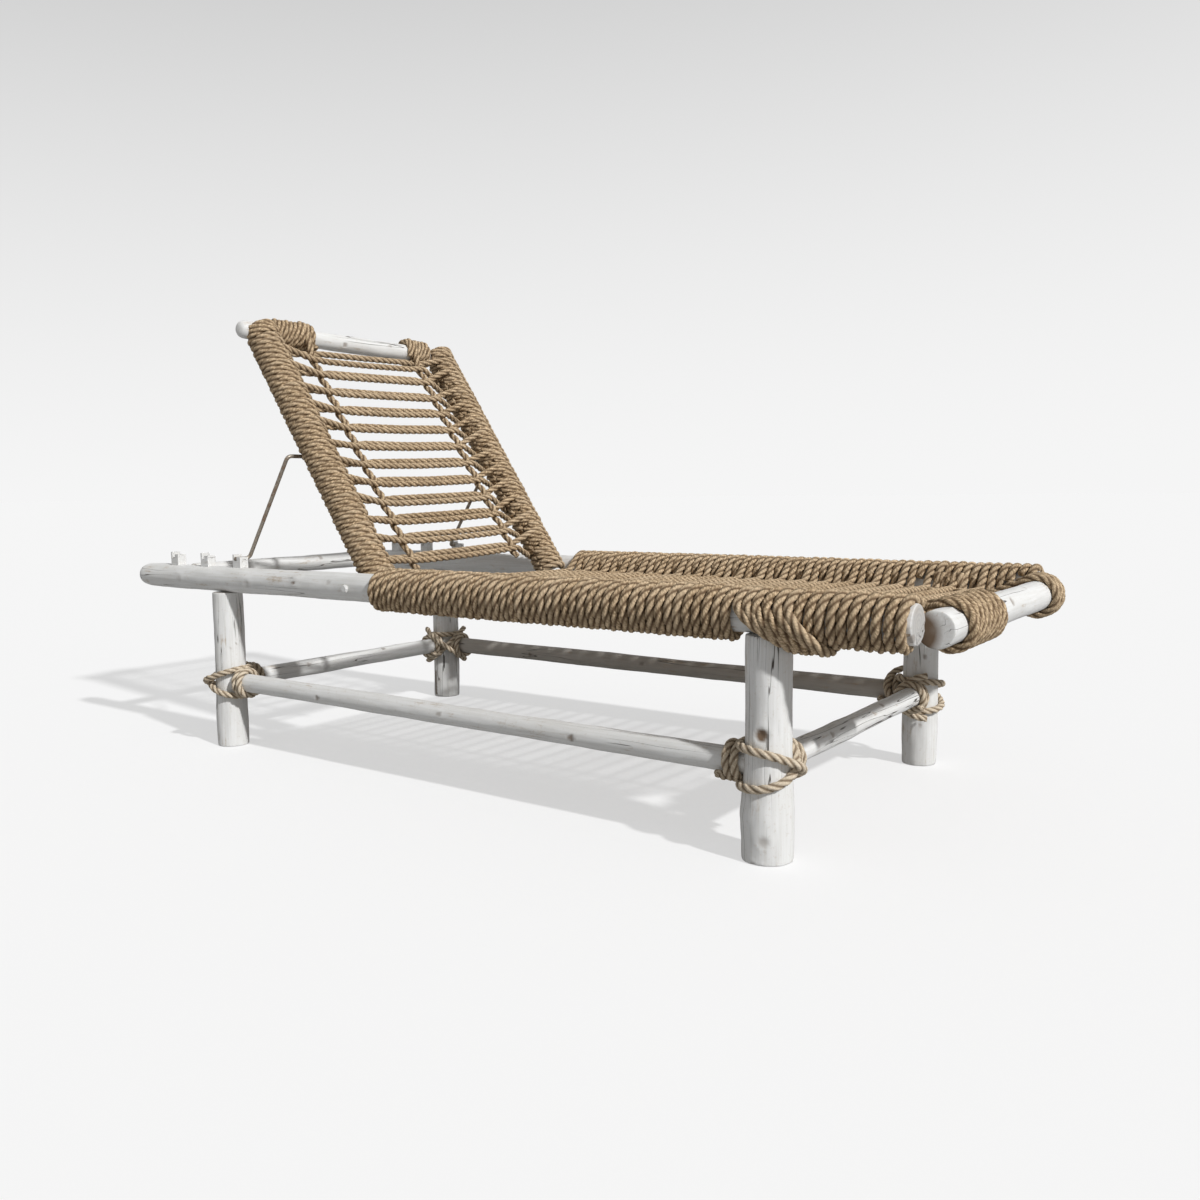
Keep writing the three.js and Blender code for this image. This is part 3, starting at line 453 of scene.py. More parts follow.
@dataclass(frozen=True)
class Finish:
    """What every finish has: a name, a roughness and the strength and depth of its relief."""

    name: str
    roughness: float
    relief: float
    depth: float

    def build(self, groups: SharedGroups) -> Material:
        """Builds the material from the shared groups."""
        return surface(self.name, lambda n: self.inputs(n, groups))

    def inputs(self, n: Nodes, groups: SharedGroups) -> dict[str, object]:
        """Places the finish's nodes and gives what the shader's inputs get."""
        raise NotImplementedError

    def emboss(self, n: Nodes, height: Socket) -> Socket:
        """The normal that a height gives."""
        return n.add("Bump", Strength=self.relief, Distance=self.depth, Height=height).outputs[0]


@dataclass(frozen=True)
class Whitewash(Finish):
    """Thin worn whitewash on a hand cut pole, or on a turned piece that has no marks of its own."""

    paint: Colour = (0.80, 0.80, 0.79)
    thin_paint: Colour = (0.60, 0.585, 0.545)
    wood: Colour = (0.17, 0.115, 0.075)
    crack: Colour = (0.055, 0.045, 0.037)
    stain: Colour = (0.42, 0.31, 0.20)
    end_grain: Colour = (0.46, 0.45, 0.44)
    wear: float = 0.75
    turned: bool = False

    def inputs(self, n: Nodes, groups: SharedGroups) -> dict[str, object]:
        """Places grain, wear, spots, knots and end grain."""
        if self.turned:
            place = n.on_object()
        else:
            place = n.add("Attribute", attribute_name="pole_space").outputs["Vector"]
        knot = n.mask("knot")
        grain = n.add("Group", place, node_tree=groups.wood).outputs
        spots = n.add("Group", place, 1.0, node_tree=groups.grime).outputs
        streak = n.ramp(grain["Grain"], 0.35, 0.75)
        colour = n.coat(self.paint, streak, self.thin_paint, 0.42)
        colour = n.coat(colour, spots["Blotch"], self.thin_paint, 0.20)
        colour = n.coat(colour, grain["Worn"], self.stain, self.wear)
        colour = n.coat(colour, spots["Speck"], self.stain, 0.15)
        colour = n.coat(colour, knot, self.wood)
        rings = n.add(
            "TexWave", n.stretch(place, (0.0, 1.0, 1.0)), wave_type="RINGS", rings_direction="X",
            Scale=42.0, Distortion=3.0, Detail_Scale=9.0,
        )
        face = n.coat(self.end_grain, rings.outputs["Fac"], self.thin_paint, 0.5)
        face = n.coat(face, spots["Blotch"], self.stain, 0.25)
        face = n.coat(face, knot, self.wood)
        colour = n.coat(n.coat(colour, n.mask("sawn"), face), grain["Crack"], self.crack)
        return {
            "Base_Color": colour,
            "Roughness": n.math("MINIMUM", n.plus(n.times(streak, 0.16), self.roughness), 1.0),
            "Specular_IOR_Level": 0.32,
            "Normal": self.emboss(n, n.minus(grain["Height"], n.times(knot, 0.6))),
        }


@dataclass(frozen=True)
class NaturalRope(Finish):
    """Three strand natural fibre rope."""

    crest: Colour = (0.71, 0.54, 0.35)
    middle: Colour = (0.30, 0.21, 0.122)
    # Painted shade: the dark colour of the grooves between the strands, which the dirt specks also use.
    groove_shade_and_speck: Colour = (0.115, 0.07, 0.038)
    bleached: Colour = (0.64, 0.51, 0.355)

    def inputs(self, n: Nodes, groups: SharedGroups) -> dict[str, object]:
        """Places fibres, tone and spots, and paints shade into the grooves between the strands."""
        lay = n.add("Group", n.add("UVMap", uv_map="rope_uv").outputs[0], node_tree=groups.strands).outputs
        spots = n.add("Group", n.on_object(), 2.4, node_tree=groups.grime).outputs
        colour = n.coat(self.middle, n.ramp(lay["Fibre"], 0.42, 0.58), self.crest)
        colour = n.coat(colour, n.mask("tone"), self.bleached, 0.85)
        colour = n.coat(colour, spots["Blotch"], self.middle, 0.30)
        colour = n.coat(colour, spots["Speck"], self.groove_shade_and_speck, 0.35)
        # Painted shade: away from the strands' crests the colour is darkened towards the groove colour.
        return {
            "Base_Color": n.coat(colour, n.minus(1.0, lay["Crest"]), self.groove_shade_and_speck, 0.92),
            "Roughness": self.roughness,
            "Specular_IOR_Level": 0.18,
            "Normal": self.emboss(n, lay["Height"]),
        }


@dataclass(frozen=True)
class RodSteel(Finish):
    """Dull rod and screws with rust specks."""

    metal: Colour = (0.30, 0.275, 0.24)
    rust: Colour = (0.17, 0.085, 0.04)
    dust: Colour = (0.46, 0.40, 0.32)
    metalness: float = 0.55

    def inputs(self, n: Nodes, groups: SharedGroups) -> dict[str, object]:
        """Places dust and rust."""
        place = n.on_object()
        spots = n.add("Group", place, 9.0, node_tree=groups.grime).outputs
        fine = n.noise(place, 420.0, 3.0, 0.6)
        rust = n.math("MAXIMUM", spots["Blotch"], spots["Speck"])
        dusty = n.coat(self.metal, n.ramp(fine, 0.40, 0.62), self.dust)
        return {
            "Base_Color": n.coat(dusty, rust, self.rust, 0.75),
            "Metallic": n.times(n.minus(1.0, rust), self.metalness),
            "Roughness": n.plus(n.times(rust, 0.3), self.roughness),
            "Normal": self.emboss(n, fine),
        }


class Finishes:
    """All the materials of the lounger, each built once."""

    def __init__(self) -> None:
        """Builds the shared groups and the materials."""
        groups = SharedGroups(
            shared_group("weather_spots", fill_grime, "Position", "Scale"),
            shared_group("pole_grain", fill_wood, "Position"),
            shared_group("laid_strands", fill_strands, "Position"),
        )
        rough = Whitewash("worn_whitewash", 0.55, 0.55, 0.0011)
        # A darker copy of the whitewash: greyer, more worn paint, darkened further as painted shade for a
        # pole that lies in the seat's shadow.
        aged_and_shaded = Whitewash(
            "aged_and_shaded_whitewash", 0.6, 0.55, 0.0011, paint=(0.50, 0.465, 0.42), thin_paint=(0.38, 0.345, 0.30)
        )
        clean = Whitewash("turned_whitewash", 0.5, 0.4, 0.0008, wear=0.4, turned=True)
        tan = NaturalRope("tan_laid_rope", 0.88, 0.8, 0.0016)
        pale = NaturalRope(
            "pale_laid_rope", 0.9, 0.8, 0.0015,
            crest=(0.70, 0.60, 0.46), middle=(0.53, 0.43, 0.31),
            groove_shade_and_speck=(0.19, 0.135, 0.085), bleached=(0.76, 0.67, 0.54),
        )
        steel = RodSteel("weathered_rod_steel", 0.45, 0.3, 0.0003)
        self.whitewash, self.aged_and_shaded, self.turned = (paint.build(groups) for paint in (rough, aged_and_shaded, clean))
        self.tan_rope, self.pale_rope, self.steel = (finish.build(groups) for finish in (tan, pale, steel))


# Shared making of pieces


def select_nothing() -> None:
    """Leaves edit mode and clears the selection."""
    if bpy.context.object and bpy.context.object.mode != "OBJECT":
        bpy.ops.object.mode_set(mode="OBJECT")
    bpy.ops.object.select_all(action="DESELECT")


def register(piece: Piece, name: str, body: Body, slot: Slot, material: Material, *nodes: str) -> Piece:
    """Names a finished piece and hands it to the frame.

    Args:
        piece: The finished object, at the origin.
        name: Its name.
        body: The body that it rides on.
        slot: The slot of its finish; not used.
        material: Its material.
        *nodes: The CAD nodes that it stands for.

    Returns:
        The piece.
    """
    piece.name = name
    piece.data.name = name
    piece.data.materials.clear()
    piece.data.materials.append(material)
    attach(piece, body.value)
    if nodes:
        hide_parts(*nodes)
    LOG.info("%s: %d faces, on %s, for %s", name, len(piece.data.polygons), body.value, nodes or "itself")
    return piece


@dataclass(frozen=True)
class RoundCore:
    """A round pole that ropes run onto and wrap. Angles go from its first direction to the second."""

    centre: Array
    axis: Array
    first: Array
    second: Array

    def at(self, angle: float, along: float, radius: float) -> Array:
        """A point at an angle, a distance along the axis and a radius."""
        a = math.radians(angle)
        out = math.cos(a) * self.first + math.sin(a) * self.second
        return self.centre + self.axis * along + out * radius

    def contact(self, outside: Array, radius: float, sense: int) -> float:
        """The angle at which a rope from an outside point first touches the core.

        Args:
            outside: The point that the rope comes from.
            radius: Radius of the rope's middle round the core.
            sense: 1 where the rope goes on with growing angles, -1 otherwise.

        Returns:
            The angle.
        """
        arm = outside - self.centre
        a, b = float(arm @ self.first), float(arm @ self.second)
        tangent = math.acos(min(1.0, radius / math.hypot(a, b)))
        return math.degrees(math.atan2(b, a) + sense * tangent)

    def wrap(self, start: float, end: float, along: Line, radius: Line) -> Array:
        """Points round the core from one angle to another.

        Args:
            start: First angle.
            end: Last angle.
            along: Distance along the axis, for an angle.
            radius: Radius of the rope's middle, for an angle.

        Returns:
            The points, one row each.
        """
        count = max(3, int(abs(end - start) / 7.0))
        return np.array([self.at(a, along(a), radius(a)) for a in np.linspace(start, end, count)])


@dataclass(frozen=True)
class RopeLay:
    """The make of a three strand rope: its thickness, its pitch and the outline of a strand."""

    diameter: float = 16.0
    pitch: float = 64.0
    strands: int = 3
    rings_per_pitch: int = 14
    shares: tuple[float, ...] = (0.74, 0.945, 1.0, 0.945)

    def section(self) -> Array:
        """Radii round the rope, from the hollow between two strands on."""
        return np.array(self.shares * self.strands) * self.diameter / 2


@dataclass
class RopeWalk:
    """Lays rope along routes and gathers the ropes of one piece into one mesh."""

    lay: RopeLay
    seed: int
    ropes: list[tuple[Array, Array, float]] = field(default_factory=list)
    soften: ClassVar[int] = 2
    most_bleached: ClassVar[float] = 0.55

    def __post_init__(self) -> None:
        """Starts the piece's own row of chance numbers."""
        self.chance = random.Random(self.seed)

    def add(self, route: Array, tone: float | None = None) -> None:
        """Adds one rope.

        Args:
            route: Points of its middle.
            tone: How bleached it is, from 0 to 1. It is left to chance where none is given.
        """
        step = self.lay.pitch / self.lay.rings_per_pitch
        middle = self.even(route, step)
        for _ in range(self.soften):
            middle[1:-1] = (middle[:-2] + 2.0 * middle[1:-1] + middle[2:]) / 4.0
        middle = self.even(middle, step)
        tone = self.chance.uniform(0.0, self.most_bleached) if tone is None else tone
        turned = self.chance.random() + np.arange(len(middle)) / self.lay.rings_per_pitch
        self.ropes.append((middle, turned, tone))

    @staticmethod
    def even(points: Array, step: float) -> Array:
        """Points of the same line at even distances."""
        gaps = np.linalg.norm(np.diff(points, axis=0), axis=1)
        along = np.concatenate(([0.0], np.cumsum(gaps)))
        count = max(4, int(round(along[-1] / step)) + 1)
        even = np.linspace(0.0, along[-1], count)
        return np.column_stack([np.interp(even, along, points[:, k]) for k in range(3)])

    @staticmethod
    def frames(middle: Array) -> tuple[Array, Array]:
        """Two directions across the rope at each point of its middle, carried along without twist."""
        tangents = np.gradient(middle, axis=0)
        tangents /= np.linalg.norm(tangents, axis=1)[:, None]
        side = np.cross(tangents[0], Z_WAY)
        if np.linalg.norm(side) < 0.1:
            side = np.cross(tangents[0], Y_WAY)
        firsts = np.empty_like(middle)
        for i, tangent in enumerate(tangents):
            side = side - tangent * float(side @ tangent)
            side = side / math.sqrt(float(side @ side))
            firsts[i] = side
        return firsts, np.cross(tangents, firsts)

    def build(self, name: str) -> Piece:
        """Makes one object of the ropes, with rope_uv (turns of the lay, share round it) and tone."""
        section = self.lay.section()
        sides = len(section)
        k = np.arange(sides)
        spots, tones, quads, caps, quad_uv, cap_uv = [], [], [], [], [], []
        offset = 0
        for middle, turned, tone in self.ropes:
            count = len(middle)
            first, second = (way[:, None] for way in self.frames(middle))
            angle = (k * 2.0 * math.pi / sides + 2.0 * math.pi * turned[:, None])[..., None]
            rings = middle[:, None] + (np.cos(angle) * first + np.sin(angle) * second) * section[:, None]
            tips = 1.5 * middle[[0, -1]] - 0.5 * middle[[1, -2]]
            spots += [rings.reshape(-1, 3), tips]
            tones.append(np.full(count * sides + 2, tone))
            r, c = (grid.ravel() for grid in np.meshgrid(np.arange(count - 1), k, indexing="ij"))
            row = np.stack([r, r, r + 1, r + 1], -1)
            column = np.stack([c, c + 1, c + 1, c], -1)
            quads.append(offset + row * sides + column % sides)
            quad_uv.append(np.stack([turned[row], column / sides], -1))
            for end, row, column in ((0, 0, (k + 1, k)), (1, count - 1, (k, k + 1))):
                tip = np.full(sides, offset + count * sides + end)
                caps.append(np.column_stack([tip, *(offset + row * sides + part % sides for part in column)]))
                v = np.column_stack([np.zeros(sides), *(part / sides for part in column)])
                cap_uv.append(np.stack([np.full_like(v, turned[row]), v], -1))
            offset += count * sides + 2
        uv = np.concatenate([places.reshape(-1, 2) for places in (*quad_uv, *cap_uv)])
        faces = np.concatenate(quads), np.concatenate(caps)
        return self.mesh(name, np.concatenate(spots), faces, uv, np.concatenate(tones))

    @staticmethod
    def mesh(name: str, spots: Array, faces: tuple[Array, Array], uv: Array, tones: Array) -> Piece:
        """Turns gathered arrays into an object.

        Args:
            name: The object's name.
            spots: Its vertices in the drawing.
            faces: Corners of its four sided and of its three sided faces.
            uv: UV places of all the corners.
            tones: Tone of each vertex.

        Returns:
            The object.
        """
        four, three = faces
        corners = np.concatenate([four.ravel(), three.ravel()])
        starts = np.concatenate([np.arange(len(four)) * 4, four.size + np.arange(len(three)) * 3])
        mesh = bpy.data.meshes.new(name)
        mesh.vertices.add(len(spots))
        mesh.vertices.foreach_set("co", to_frame(spots).ravel())
        mesh.loops.add(len(corners))
        mesh.loops.foreach_set("vertex_index", corners)
        mesh.polygons.add(len(starts))
        mesh.polygons.foreach_set("loop_start", starts)
        mesh.uv_layers.new(name="rope_uv").data.foreach_set("uv", uv.ravel())
        mesh.attributes.new("tone", "FLOAT", "POINT").data.foreach_set("value", tones)
        mesh.update()
        mesh.validate()
        mesh.polygons.foreach_set("use_smooth", np.ones(len(mesh.polygons), dtype=bool))
        piece = bpy.data.objects.new(name, mesh)
        bpy.context.scene.collection.objects.link(piece)
        return piece


@dataclass(frozen=True)
class Knot:
    """A knot, a plug or a stain: its place along and round a pole, its radius, rise and darkness."""

    along: float
    angle: float
    radius: float
    rise: float = -1.5
    stain: float = 1.0


@dataclass(frozen=True)
class PoleSpec:
    """One pole: where it runs, how thick it is and how it is worked."""

    name: str
    start: Sequence[float]
    end: Sequence[float]
    diameter: float
    swell: Sequence[float] = (1.0, 1.0)
    knots: Sequence[Knot] = ()
    reference: Sequence[float] = (0.0, 0.0, 1.0)
    domed_start: bool = False
    painted_ends: bool = False
    aged_and_shaded: bool = False
    dent: float = 1.1
    sway: float = 1.5
    ring: float = 26.0
    body: Body = Body.FRAME

    @property
    def length(self) -> float:
        """Length in metres."""
        return float(np.linalg.norm(np.array(self.end) - np.array(self.start))) * MM

    @property
    def radius(self) -> float:
        """Radius in metres."""
        return self.diameter / 2 * MM


class PoleCarver:
    """Shapes the round poles from cylinders."""

    SIDES = 16
    SUBSURF_LEVELS = 2
    ARRIS = 2.6
    CAP_INSET = 0.35
    DOME = ((0.96, 0.62), (0.84, 0.30), (0.60, 0.10), (0.30, 0.02))
    SAWN_EDGE = 1.2

    def __init__(self, finish: Material, aged_and_shaded: Material) -> None:
        """Keeps the usual finish and the darker one of a greyer, more worn pole that also carries painted
        shade.
        """
        self.finish = finish
        self.aged_and_shaded = aged_and_shaded
        self.count = 0

    def carve(self, spec: PoleSpec) -> Piece:
        """Makes one pole and registers it in place of its CAD node."""
        self.count += 1
        piece = self.turned_blank(spec)
        self.shape_rings(piece, spec)
        self.work_ends(piece, spec)
        self.smooth_blank(piece)
        self.weather(piece.data, spec)
        self.stand(piece.data, spec)
        finish = self.aged_and_shaded if spec.aged_and_shaded else self.finish
        return register(piece, spec.name + "_dressed", spec.body, Slot.PAINT, finish, spec.name)

    def turned_blank(self, spec: PoleSpec) -> Piece:
        """Adds the cylinder, standing on the origin, and cuts it into rings."""

        def upright(edge: bmesh.types.BMEdge) -> bool:
            """Whether an edge runs from the bottom to the top."""
            return abs(edge.verts[0].co.z - edge.verts[1].co.z) > 1e-4

        select_nothing()
        low = spec.radius if spec.domed_start else 0.0
        high = spec.length
        corner_share = 3.0 / (2.0 + math.cos(2.0 * math.pi / self.SIDES))
        bpy.ops.mesh.primitive_cylinder_add(
            vertices=self.SIDES, radius=spec.radius * corner_share, depth=high - low,
            location=(0.0, 0.0, (low + high) / 2),
        )
        bpy.ops.object.transform_apply()
        piece = bpy.context.active_object
        bpy.ops.object.mode_set(mode="EDIT")
        self.pick(piece, "EDGE", lambda bm: filter(upright, bm.edges))
        bpy.ops.mesh.subdivide(number_cuts=max(3, round((high - low) / (spec.ring * MM))))
        return piece

    @staticmethod
    def pick(piece: Piece, mode: str, choose: Callable[[bmesh.types.BMesh], Iterable]) -> None:
        """Selects just the vertices, edges or faces that are chosen from the mesh."""
        bpy.ops.mesh.select_mode(type=mode)
        bpy.ops.mesh.select_all(action="DESELECT")
        bm = bmesh.from_edit_mesh(piece.data)
        for part in choose(bm):
            part.select_set(True)
        bm.select_flush_mode()
        bmesh.update_edit_mesh(piece.data)

    def pick_cap(self, piece: Piece, sign: float) -> None:
        """Selects just the face that closes the top end, or the bottom one where the sign is negative."""

        def rank(face: bmesh.types.BMFace) -> tuple[float, float]:
            """Height towards that end, then area."""
            return round(sign * face.calc_center_median().z, 5), face.calc_area()

        self.pick(piece, "FACE", lambda bm: [max(bm.faces, key=rank)])

    def shape_rings(self, piece: Piece, spec: PoleSpec) -> None:
        """Resizes and shifts each ring, as the real pole swells and sways."""
        steps = len(spec.swell) - 1
        for level in sorted({round(vert.co.z, 5) for vert in bmesh.from_edit_mesh(piece.data).verts}):
            share = min(max(level / spec.length, 0.0), 1.0)
            size = float(np.interp(share * steps, range(steps + 1), spec.swell))
            size *= 1.0 + 0.010 * noise.noise(Vector((level * 9.0, self.count * 3.1, 0.3)))
            reach = spec.sway * MM * math.sin(math.pi * share)
            dx, dy = (reach * noise.noise(Vector((level * 3.2, self.count * 5.7, row))) for row in (1.9, 7.9))
            self.pick(piece, "VERT", lambda bm: (v for v in bm.verts if abs(v.co.z - level) < 2e-5))
            bpy.ops.transform.resize(value=(size, size, 1.0), center_override=(0.0, 0.0, level))
            bpy.ops.transform.translate(value=(dx, dy, 0.0))

    def work_ends(self, piece: Piece, spec: PoleSpec) -> None:
        """Rounds a domed end by extrusion, and breaks the arris of a sawn one."""
        for sign in (-1.0, 1.0):
            self.pick_cap(piece, sign)
            if spec.domed_start and sign < 0.0:
                size, level = 1.0, 1.0
                for share, depth in self.DOME:
                    move = (depth - level) * spec.radius
                    bpy.ops.mesh.extrude_region_move(TRANSFORM_OT_translate={"value": (0.0, 0.0, move)})
                    centre = (0.0, 0.0, depth * spec.radius)
                    bpy.ops.transform.resize(value=(share / size, share / size, 1.0), center_override=centre)
                    size, level = share, depth
            else:
                bpy.ops.mesh.bevel(offset=self.ARRIS * MM, segments=2, affect="EDGES")
                self.pick_cap(piece, sign)
                bpy.ops.mesh.inset(thickness=spec.radius * self.CAP_INSET)
        bpy.ops.object.mode_set(mode="OBJECT")

    def smooth_blank(self, piece: Piece) -> None:
        """Applies the subdivision and smooth shading."""
        divide = piece.modifiers.new("round", "SUBSURF")
        divide.levels = divide.render_levels = self.SUBSURF_LEVELS
        bpy.ops.object.modifier_apply(modifier=divide.name)
        bpy.ops.object.shade_smooth()

    def weather(self, mesh: bpy.types.Mesh, spec: PoleSpec) -> None:
        """Dents the surface by chance and at the knots, and writes the attributes that the finish reads."""
        flat = np.empty(len(mesh.vertices) * 3)
        mesh.vertices.foreach_get("co", flat)
        spots = flat.reshape(-1, 3)
        knot, push = np.zeros(len(spots)), np.zeros(len(spots))
        for mark in spec.knots:
            a = math.radians(mark.angle)
            centre = (spec.radius * math.cos(a), spec.radius * math.sin(a), mark.along * MM)
            away = np.linalg.norm(spots - centre, axis=1) / (mark.radius * MM)
            push += mark.rise * np.exp(-((away / 0.75) ** 2)) + 0.9 * np.exp(-(((away - 1.25) / 0.35) ** 2))
            knot = np.maximum(knot, mark.stain * np.clip(2.9 - 2.8 * away, 0.0, 1.0))
        seed = self.count * 1.37
        for i, (x, y, z) in enumerate(spots):
            rough = noise.noise(Vector((x * 42.0, y * 42.0 + seed, z * 11.0)))
            fine = noise.noise(Vector((x * 140.0 + seed, y * 140.0, z * 30.0)))
            push[i] += spec.dent * (rough + 0.35 * fine)
        radial = np.hypot(spots[:, 0], spots[:, 1])
        inside = np.clip(radial / spec.radius, 0.0, 1.0)
        scale = 1.0 + push * inside * MM / np.maximum(radial, 1e-4)
        moved = spots.copy()
        moved[:, :2] *= np.where(inside > 0.2, scale, 1.0)[:, None]
        mesh.vertices.foreach_set("co", moved.ravel())
        from_start = np.inf if spec.domed_start else spots[:, 2]
        away = np.minimum(from_start, spec.length - spots[:, 2])
        sawn = np.clip(1.0 - away / (self.SAWN_EDGE * MM), 0.0, 1.0) * (not spec.painted_ends)
        space = np.column_stack([spots[:, 2] + self.count * 3.7, spots[:, 0], spots[:, 1]])
        mesh.attributes.new("pole_space", "FLOAT_VECTOR", "POINT").data.foreach_set("vector", space.ravel())
        mesh.attributes.new("sawn", "FLOAT", "POINT").data.foreach_set("value", sawn)
        mesh.attributes.new("knot", "FLOAT", "POINT").data.foreach_set("value", knot)
        mesh.update()

    @staticmethod
    def stand(mesh: bpy.types.Mesh, spec: PoleSpec) -> None:
        """Turns the standing pole into its place, in the mesh itself."""
        start, end = (Vector(to_frame(np.array(p))) for p in (spec.start, spec.end))
        way = (end - start).normalized()
        reference = Vector(spec.reference)
        x = (reference - way * reference.dot(way)).normalized()
        turn = Matrix((x, way.cross(x), way)).transposed().to_4x4()
        mesh.transform(Matrix.Translation(start) @ turn)
        mesh.update()


# Sub-assemblies


@dataclass(frozen=True)
class PoleFrame:
    """The side rails, foot rail, cross rail, legs and stretchers."""

    rail_swell: tuple[float, ...] = (0.93, 0.98, 1.0, 0.97, 0.99, 1.0, 1.0, 1.0, 1.0, 1.0, 1.0, 1.05)
    leg_swell: tuple[float, ...] = (0.97, 1.0, 1.0, 0.98, 1.0, 1.0)
    thick_foot: tuple[float, ...] = (1.14, 1.15, 1.05, 1.0, 1.0, 1.0)
    slim: tuple[float, ...] = (0.95, 0.97, 0.95, 0.93, 0.92, 0.92)
    stretcher_swell: tuple[float, ...] = (1.0, 0.96, 1.0, 0.94, 0.98, 1.0)
    cross_depth: float = 8.0
    tenon: float = 10.0

    def poles(self) -> Iterator[PoleSpec]:
        """All the poles of the frame, in the order of their making."""
        yield from self.side_rails()
        yield from self.cross_poles()
        yield from self.legs()
        yield from self.stretchers()

    def side_rails(self) -> Iterator[PoleSpec]:
        """The two long rails, rounded at the head end and sawn at the foot end."""
        near = (
            Knot(105, 250, 12, -0.8, 0.35), Knot(191, 95, 10, 1.6, 0.2), Knot(455, 100, 11, -0.8, 0.2),
            Knot(628, 62, 12, 2.6, 0.0), Knot(622, 80, 5, -1.2, 0.9), Knot(735, 70, 7, -0.8, 0.3),
            Knot(1999, 262, 6, -1.5, 0.9), Knot(1999, 130, 9, -1.5, 0.5),
        )
        far = (Knot(240, 300, 9, -1.2, 0.7), Knot(520, 280, 8, -1.0, 0.6), Knot(800, 250, 9, 0.8, 0.4))
        for side in Side:
            start, end = ((x, side.value * S.side, S.rail_z) for x in (-S.head_overhang, S.rail_end))
            yield PoleSpec(
                f"{side.word}_side_rail", start, end, S.rail, self.rail_swell, side.pick(near, far),
                domed_start=True, dent=1.5,
            )

    def cross_poles(self) -> Iterator[PoleSpec]:
        """The foot rail and the skewed cross rail behind the rear legs."""
        start, end = ((S.foot_x, side.value * (S.side - S.foot_inset), S.foot_z) for side in Side)
        knots = (
            Knot(0, 258, 40, 0.0), Knot(60, 30, 8, -1.0, 0.6), Knot(330, 60, 9, -1.2, 0.6),
            Knot(470, 20, 7, 0.7, 0.3),
        )
        yield PoleSpec("foot_rail", start, end, S.foot_rail, knots=knots, painted_ends=True)
        near = point(-S.cross_near, -S.side, S.rail_z + S.cross_rise)
        far = point(-S.cross_far, S.side, S.rail_z + S.cross_rise)
        inside = unit(far - near) * (S.rail / 2 - self.cross_depth)
        start, end = near + inside, far - inside
        knots = Knot(150, 20, 7, -1.0, 0.6), Knot(420, 50, 8, 0.8, 0.5)
        yield PoleSpec("rear_cross_rail", start, end, S.cross_rail, self.stretcher_swell, knots)

    def legs(self) -> Iterator[PoleSpec]:
        """The four posts."""
        marks = {
            "near_front_leg": (
                Knot(211, 280, 12, -5.0), Knot(40, 288, 11, -1.0, 0.4), Knot(78, 230, 27, 5.0, 0.0),
                Knot(2, 262, 6, -1.5, 0.8), Knot(1, 285, 5, -1.0, 0.7),
            ),
            "near_rear_leg": [Knot(222 + 8 * i, 292 + 19 * i, 3.4, -1.8, 0.8) for i in range(5)],
            "far_front_leg": (Knot(240, 300, 5, -1.0, 0.7), Knot(90, 290, 4, -0.8, 0.5)),
            "far_rear_leg": [Knot(10 + 9 * i, 256, 6, -0.7, 0.9) for i in range(8)],
        }
        swells = {"near_front_leg": self.thick_foot, "near_rear_leg": self.slim}
        for side in Side:
            for word, x, _ in LEG_ROWS:
                name = f"{side.word}_{word}_leg"
                foot, head = ((x, side.value * S.side, z) for z in (0.0, S.leg_height))
                yield PoleSpec(
                    name, foot, head, S.leg, swells.get(name, self.leg_swell), marks[name], X_WAY,
                    dent=1.6, sway=2.0, ring=20.0,
                )

    def stretchers(self) -> Iterator[PoleSpec]:
        """The four low rails, let into the legs."""
        inside = S.leg / 2 - self.tenon
        z = S.stretcher_height
        knots = Knot(310, 100, 7, -1.2, 0.7), Knot(680, 80, 6, 0.7, 0.5), Knot(1010, 95, 8, -1.0, 0.8)
        for side in Side:
            start, end = ((x, side.value * S.side, z) for x in (inside, S.leg_spacing - inside))
            # The far long stretcher gets the darker whitewash. Its paint is greyer and worn, and painted
            # shade stands in for the seat's shadow on it.
            yield PoleSpec(
                f"{side.word}_long_stretcher", start, end, S.long_stretcher, self.stretcher_swell, knots,
                aged_and_shaded=side is Side.FAR,
            )
        knots = Knot(190, 60, 7, -1.0, 0.6), Knot(450, 30, 7, -1.0, 0.6)
        for word, x, _ in LEG_ROWS:
            start, end = ((x, side.value * (S.side - inside), z) for side in Side)
            yield PoleSpec(f"{word}_stretcher", start, end, S.cross_stretcher, self.stretcher_swell, knots)


@dataclass(frozen=True)
class BackPoles:
    """The two poles and the top rail of the backrest."""

    def poles(self) -> Iterator[PoleSpec]:
        """The three poles, in the order of their making."""
        for side in Side:
            ends = -S.pole_tail, S.pole_length + S.top_lap
            start, end = (back_point(along, side.value * S.pole_side) for along in ends)
            yield PoleSpec(
                f"{side.word}_backrest_pole", start, end, S.pole, reference=BACK_FACE,
                dent=0.7, sway=0.8, body=Body.BACKREST,
            )
        knots = Knot(40, 20, 6, 0.6, 0.5), Knot(300, 50, 7, -1.0, 0.6), Knot(455, 10, 6, 0.7, 0.4)
        start = back_point(S.top_along, -S.pole_side - S.top_near, -S.top_setback)
        end = back_point(S.top_along, S.pole_side + S.top_far, -S.top_setback)
        yield PoleSpec(
            "backrest_top_rail", start, end, S.top_rail, knots=knots, reference=BACK_FACE, domed_start=True,
            dent=0.9, sway=1.2, body=Body.BACKREST,
        )


